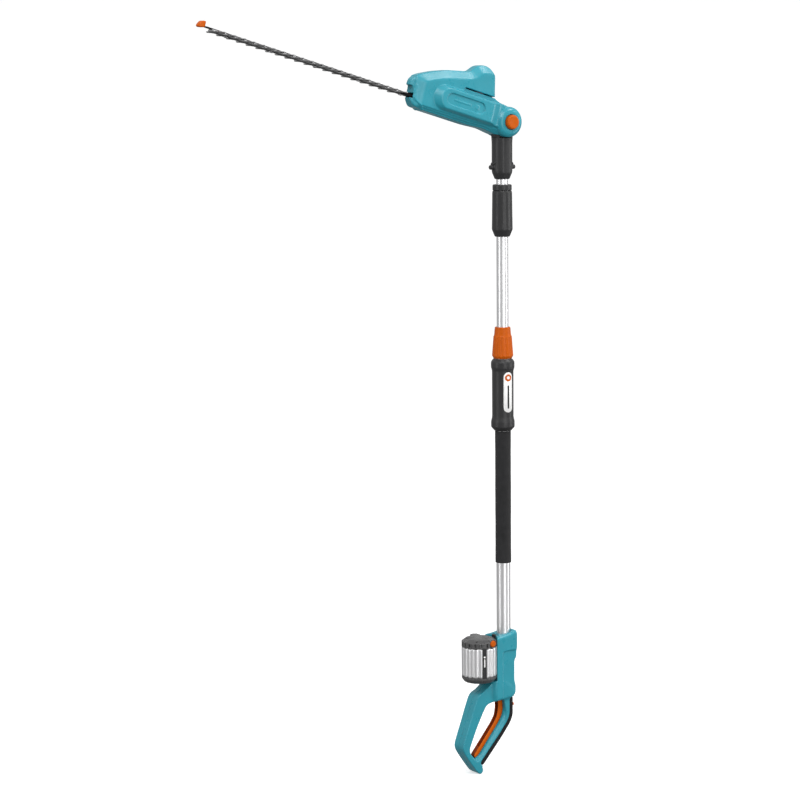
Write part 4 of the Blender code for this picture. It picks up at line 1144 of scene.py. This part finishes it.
def cap_field(x, y, z):
    dx = x - DRUM_X
    rho = np.hypot(dx, y)
    angle = np.arctan2(y, dx)
    wave = rib_wave(angle) ** 0.6
    side = rho - DRUM_R + 0.9 * (1 - wave)
    facet = rho * np.cos((angle + 0.2) % (2 * pi / CAP_FACETS) - pi / CAP_FACETS)
    shoulder = 0.50 * (facet - 34.6) + 0.866 * (z + 292.0)
    crown = 0.16 * (facet - 26.0) + 0.987 * (z + 286.9)
    body = both(both(both(side, shoulder, 1.0), crown, 0.8), z - CAP_TOP, 0.8)
    for bx, by, reach in ((10.0, -9.0, 12.0), (-13.0, 10.0, 12.0)):
        lobe = np.hypot(dx - bx, (y - by) * 1.2) - reach
        bump = both(both(0.45 * lobe + 0.893 * (z + 285.9), z + 285.05, 0.3), -(z + 292.0), 0.5)
        body = np.minimum(body, meet(bump, lobe))
        ring = meet(np.abs(lobe + 4.6) - 0.5, -285.7 - z)
        body = both(body, -ring, 0.2)
    spread = np.abs(x - RELEASE_X) - RELEASE_RING_R
    hood = both(both(spread, block(np.abs(y), 20.0, 35.6), 2.0), block(z, -298.0, -286.1), 2.0)
    body = either(body, meet(hood, rho - 36.0), 2.0)
    edge = JACKET_HIGH + 0.3 - 1.6 * wave
    body = both(body, edge - z, 0.4)
    inner = meet(rho - 31.6, z + 294.6)
    body = meet(body, -inner)
    notch = np.abs((angle - RIB_TURN) * RIBS / (2 * pi) % 1 - 0.5) * 2 * pi / RIBS * DRUM_R - 1.5
    body = both(body, -meet(notch, block(z, -301.2, -293.6), JACKET_INNER_R - rho), 0.3)
    lamp = np.hypot(dx - LAMP_X, y - LAMP_Y) - LAMP_R
    body = both(body, -meet(lamp, -293.0 - z), 0.4)
    near = np.hypot(x - RELEASE_X, z - RELEASE_Z)
    for side_y in (-1, 1):
        ring = both(near - RELEASE_RING_R, block(side_y * y, 29.0, 36.6), 0.6)
        body = meet(either(body, ring, 0.8), -meet(near - RELEASE_BORE_R, 24.0 - side_y * y))
    return body


def make_battery():
    centre = (DRUM_X, 0, 0)
    shape = skin(cap_field, (DRUM_X - 37, -38, -306), (DRUM_X + 37, 38, -284.5), 0.7)
    make("battery_cap_moulded", shape, CAP, "battery", ["battery_cap"], sharp=50.0)
    for name, axis in (("left", "-Y"), ("right", "+Y")):
        cap = soft_corners([(0, 28.0), (6.9, 28.0), (6.9, 36.6), (5.4, 38.5), (0, 38.3)], 1.4, closed=False)
        button = placed(lathe(cap, 56), (RELEASE_X, 0, RELEASE_Z), axis)
        make(f"release_cap_{name}", button, ORANGE, f"release_{name}", [f"release_button_{name}"])

    low, high = JACKET_LOW, JACKET_HIGH
    rows = [(JACKET_INNER_R, low), (36.0, low), (DRUM_R, low + 0.4)]
    rows += [(DRUM_R, low + 0.4 + (high - low - 0.8) * k / 24) for k in range(1, 24)]
    rows += [(DRUM_R, high - 0.4), (36.0, high), (JACKET_INNER_R, high)]

    def ribbed(r, z, angle):
        wave = rib_wave(angle)
        radius = np.where(r > 35.0, r - RIB_DEPTH * (1 - wave ** 0.48), r)
        top = ramp((z - JACKET_HIGH + 9.0) / 9.0)
        foot = ramp((JACKET_LOW + 9.0 - z) / 9.0)
        return radius, z - 1.6 * wave ** 0.6 * top + 1.8 * (1 - wave ** 0.6) * foot

    make("battery_jacket_ribbed", placed(lathe(rows, RIBS * 24, ribbed), centre), JACKET, "battery",
         ["battery_jacket"], sharp=30.0)
    base = soft_corners([(0, BASE_LOW), (30.5, BASE_LOW), (DRUM_R, -369.8), (DRUM_R, -362.4), (33.0, -362.4),
                         (33.0, -368.5), (29.5, -373.5), (0, -373.5)], 1.2, closed=False)

    def scalloped(r, z, angle):
        wave = rib_wave(angle) ** 0.6
        top = ramp((z + 368.0) / 5.0) * (r > 32.5)
        return r - 0.8 * (1 - wave) * (r > 34.0), z - 1.8 * wave * top

    make("battery_base_moulded", placed(lathe(base, RIBS * 16, scalloped), centre), CAP, "battery",
         ["battery_base"])
    make_battery_strip()


def make_battery_strip():
    """Dark strip down the battery, with a plain white dot and bar in place of its print."""
    def along(half, inner, outer, steps):
        spread = [RIB_TURN + half * (2 * k / steps - 1) / DRUM_R for k in range(steps + 1)]
        front = [(DRUM_X + outer * cos(t), outer * sin(t)) for t in spread]
        return front + [(DRUM_X + inner * cos(t), inner * sin(t)) for t in reversed(spread)]

    strip = along(STRIP_HALF, DRUM_R + 0.1, DRUM_R + 1.1, 8)
    low, high = JACKET_LOW - 1.0, JACKET_HIGH + 0.6
    make("battery_strip_moulded", stacked([(low, strip), (high, strip)]), BLACK, "battery", ["battery_strip"],
         sharp=30.0)
    bar = along(1.1, *PRINT_R, 4)
    make("battery_bar", stacked([(-341.0, bar), (-324.0, bar)]), WHITE, "battery", sharp=30.0)
    out = Matrix.Translation(Vector((DRUM_X, 0, 0)) * MM) @ Matrix.Rotation(RIB_TURN + pi / 2, 4, "Z")
    inner, outer = PRINT_R
    disc = lathe([(0, inner), (DOT_R, inner), (DOT_R, outer), (0, outer)], 32)
    dot = placed(disc, (0, 0, DOT_Z), "-Y")
    make("battery_dot", dot, WHITE, "battery", place=out, sharp=30.0)


# ---- carried-over pieces, stage, camera

FLOOR_TONE = (0.70, 0.70, 0.70)
FLOOR_GLOW = 0.52
FLOOR_R, FLOOR_CURVE = 8000.0, 4000.0
SOFT_BOXES = (                  # name, place, target, size in metres and power in watts
    ("top_key", (-1.7, -2.2, 3.4), (-0.1, 0, 0.3), (2.0, 2.0), 68),
    ("top_box", (1.7, -1.3, 3.4), (-0.1, 0, 0.6), (1.3, 1.3), 42),
    ("right_box", (2.9, -2.2, 0.5), (0, 0, 0.2), (0.8, 3.4), 42),
    ("left_box", (-3.4, 0.3, 0.6), (0, 0, 0.3), (0.7, 3.4), 24),
    ("front_box", (-0.6, -3.6, 0.5), (0, 0, 0.2), (1.6, 3.4), 42),
)
CAMERA_AZIMUTH = radians(33.0)
CAMERA_PITCH = radians(7.8)
CAMERA_ROLL = radians(-0.5)
CAMERA_PLACE = (-3.0355, -4.2895, 0.9211)
CAMERA_LENS = 117.0

CARRIED = {
    "motor": MOTOR, "motor_shaft": STEEL, "motor_pinion": STEEL, "crank_gear": STEEL, "crank_shaft": STEEL,
    "crank_bearing": STEEL, "gear_plate": CAST, "lock_ring": STEEL, "detent_ring": STEEL,
    "guide_bush": NYLON, "tube_connector": BLACK, "clamp_collet": NYLON,
    "cell_pack": CELLS, "terminal_block": BLACK, "trigger_switch": BLACK,
    "power_cable": CABLE, "coiled_cable": CABLE, "battery_rail": BLACK,
}


def finish_carried():
    for name, material in CARRIED.items():
        for slot in frame["nodes"][name].material_slots:
            slot.material = material


def make_stage():
    """Pale round floor that curves up into a backdrop on every side. The object doesn't see it."""
    low = cad_bounds[0].z / MM - 1.0
    top = low + 3 * FLOOR_CURVE
    bend = arc((FLOOR_R, low + FLOOR_CURVE), FLOOR_CURVE, -85, 0, 18)
    profile = [(0.0, low), (500.0, low), (2000.0, low), (FLOOR_R, low), *bend, (FLOOR_R + FLOOR_CURVE, top)]
    points, faces = lathe([*profile, (0.0, top)], 96)
    mesh = bpy.data.meshes.new("floor")
    mesh.from_pydata((points * MM).tolist(), [], faces)
    mesh.shade_smooth()
    material, tree, shader = new_material("floor_white")
    fill(tree, shader, Base_Color=tinted(tree, 0.7, 2, FLOOR_TONE, 0.01), Roughness=0.9,
         Specular_IOR_Level=0.0, Emission_Color=(1, 1, 1, 1), Emission_Strength=FLOOR_GLOW)
    mesh.materials.append(material)
    floor = bpy.data.objects.new("floor", mesh)
    floor.visible_diffuse = False
    floor.visible_glossy = False
    floor.visible_shadow = False
    bpy.context.scene.collection.objects.link(floor)


def area_light(name, place, target, size, power):
    data = bpy.data.lights.new(name, "AREA")
    data.shape = "RECTANGLE"
    data.size, data.size_y = size
    data.energy = power
    light = bpy.data.objects.new(name, data)
    light.location = place
    light.rotation_euler = (Vector(target) - Vector(place)).to_track_quat("-Z", "Y").to_euler()
    bpy.context.scene.collection.objects.link(light)


def make_lights():
    """Soft boxes above, on the left and on the right, in a dim grey room."""
    world = bpy.data.worlds.new("studio")
    world.use_nodes = True
    tree = world.node_tree
    up = add(tree, "SeparateXYZ", "Z", Vector=add(tree, "TexCoord", "Generated"))
    fill(tree, tree.nodes["Background"], Color=(1, 1, 1, 1), Strength=mapped(tree, up, 0.22, 0.85, -0.7, 0.9))
    bpy.context.scene.world = world
    for light in SOFT_BOXES:
        area_light(*light)


def make_camera():
    ahead = Vector((sin(CAMERA_AZIMUTH), cos(CAMERA_AZIMUTH), 0.0))
    forward = Vector((ahead.x * cos(CAMERA_PITCH), ahead.y * cos(CAMERA_PITCH), -sin(CAMERA_PITCH)))
    level = Vector((cos(CAMERA_AZIMUTH), -sin(CAMERA_AZIMUTH), 0.0))
    upright = level.cross(forward)
    right = level * cos(CAMERA_ROLL) + upright * sin(CAMERA_ROLL)
    up = upright * cos(CAMERA_ROLL) - level * sin(CAMERA_ROLL)
    data = bpy.data.cameras.new("camera")
    data.lens = CAMERA_LENS
    camera = bpy.data.objects.new("camera", data)
    turn = Matrix((right, up, -forward)).transposed().to_4x4()
    camera.matrix_world = Matrix.Translation(CAMERA_PLACE) @ turn
    bpy.context.scene.collection.objects.link(camera)
    bpy.context.scene.camera = camera
    bpy.context.scene.view_settings.view_transform = "Standard"


make_camera()
make_stage()
make_lights()
make_head_shells()
make_tilt_lock()
make_blade()
make_upper_pole()
make_clamp()
make_grips()
make_handle()
make_battery()
finish_carried()
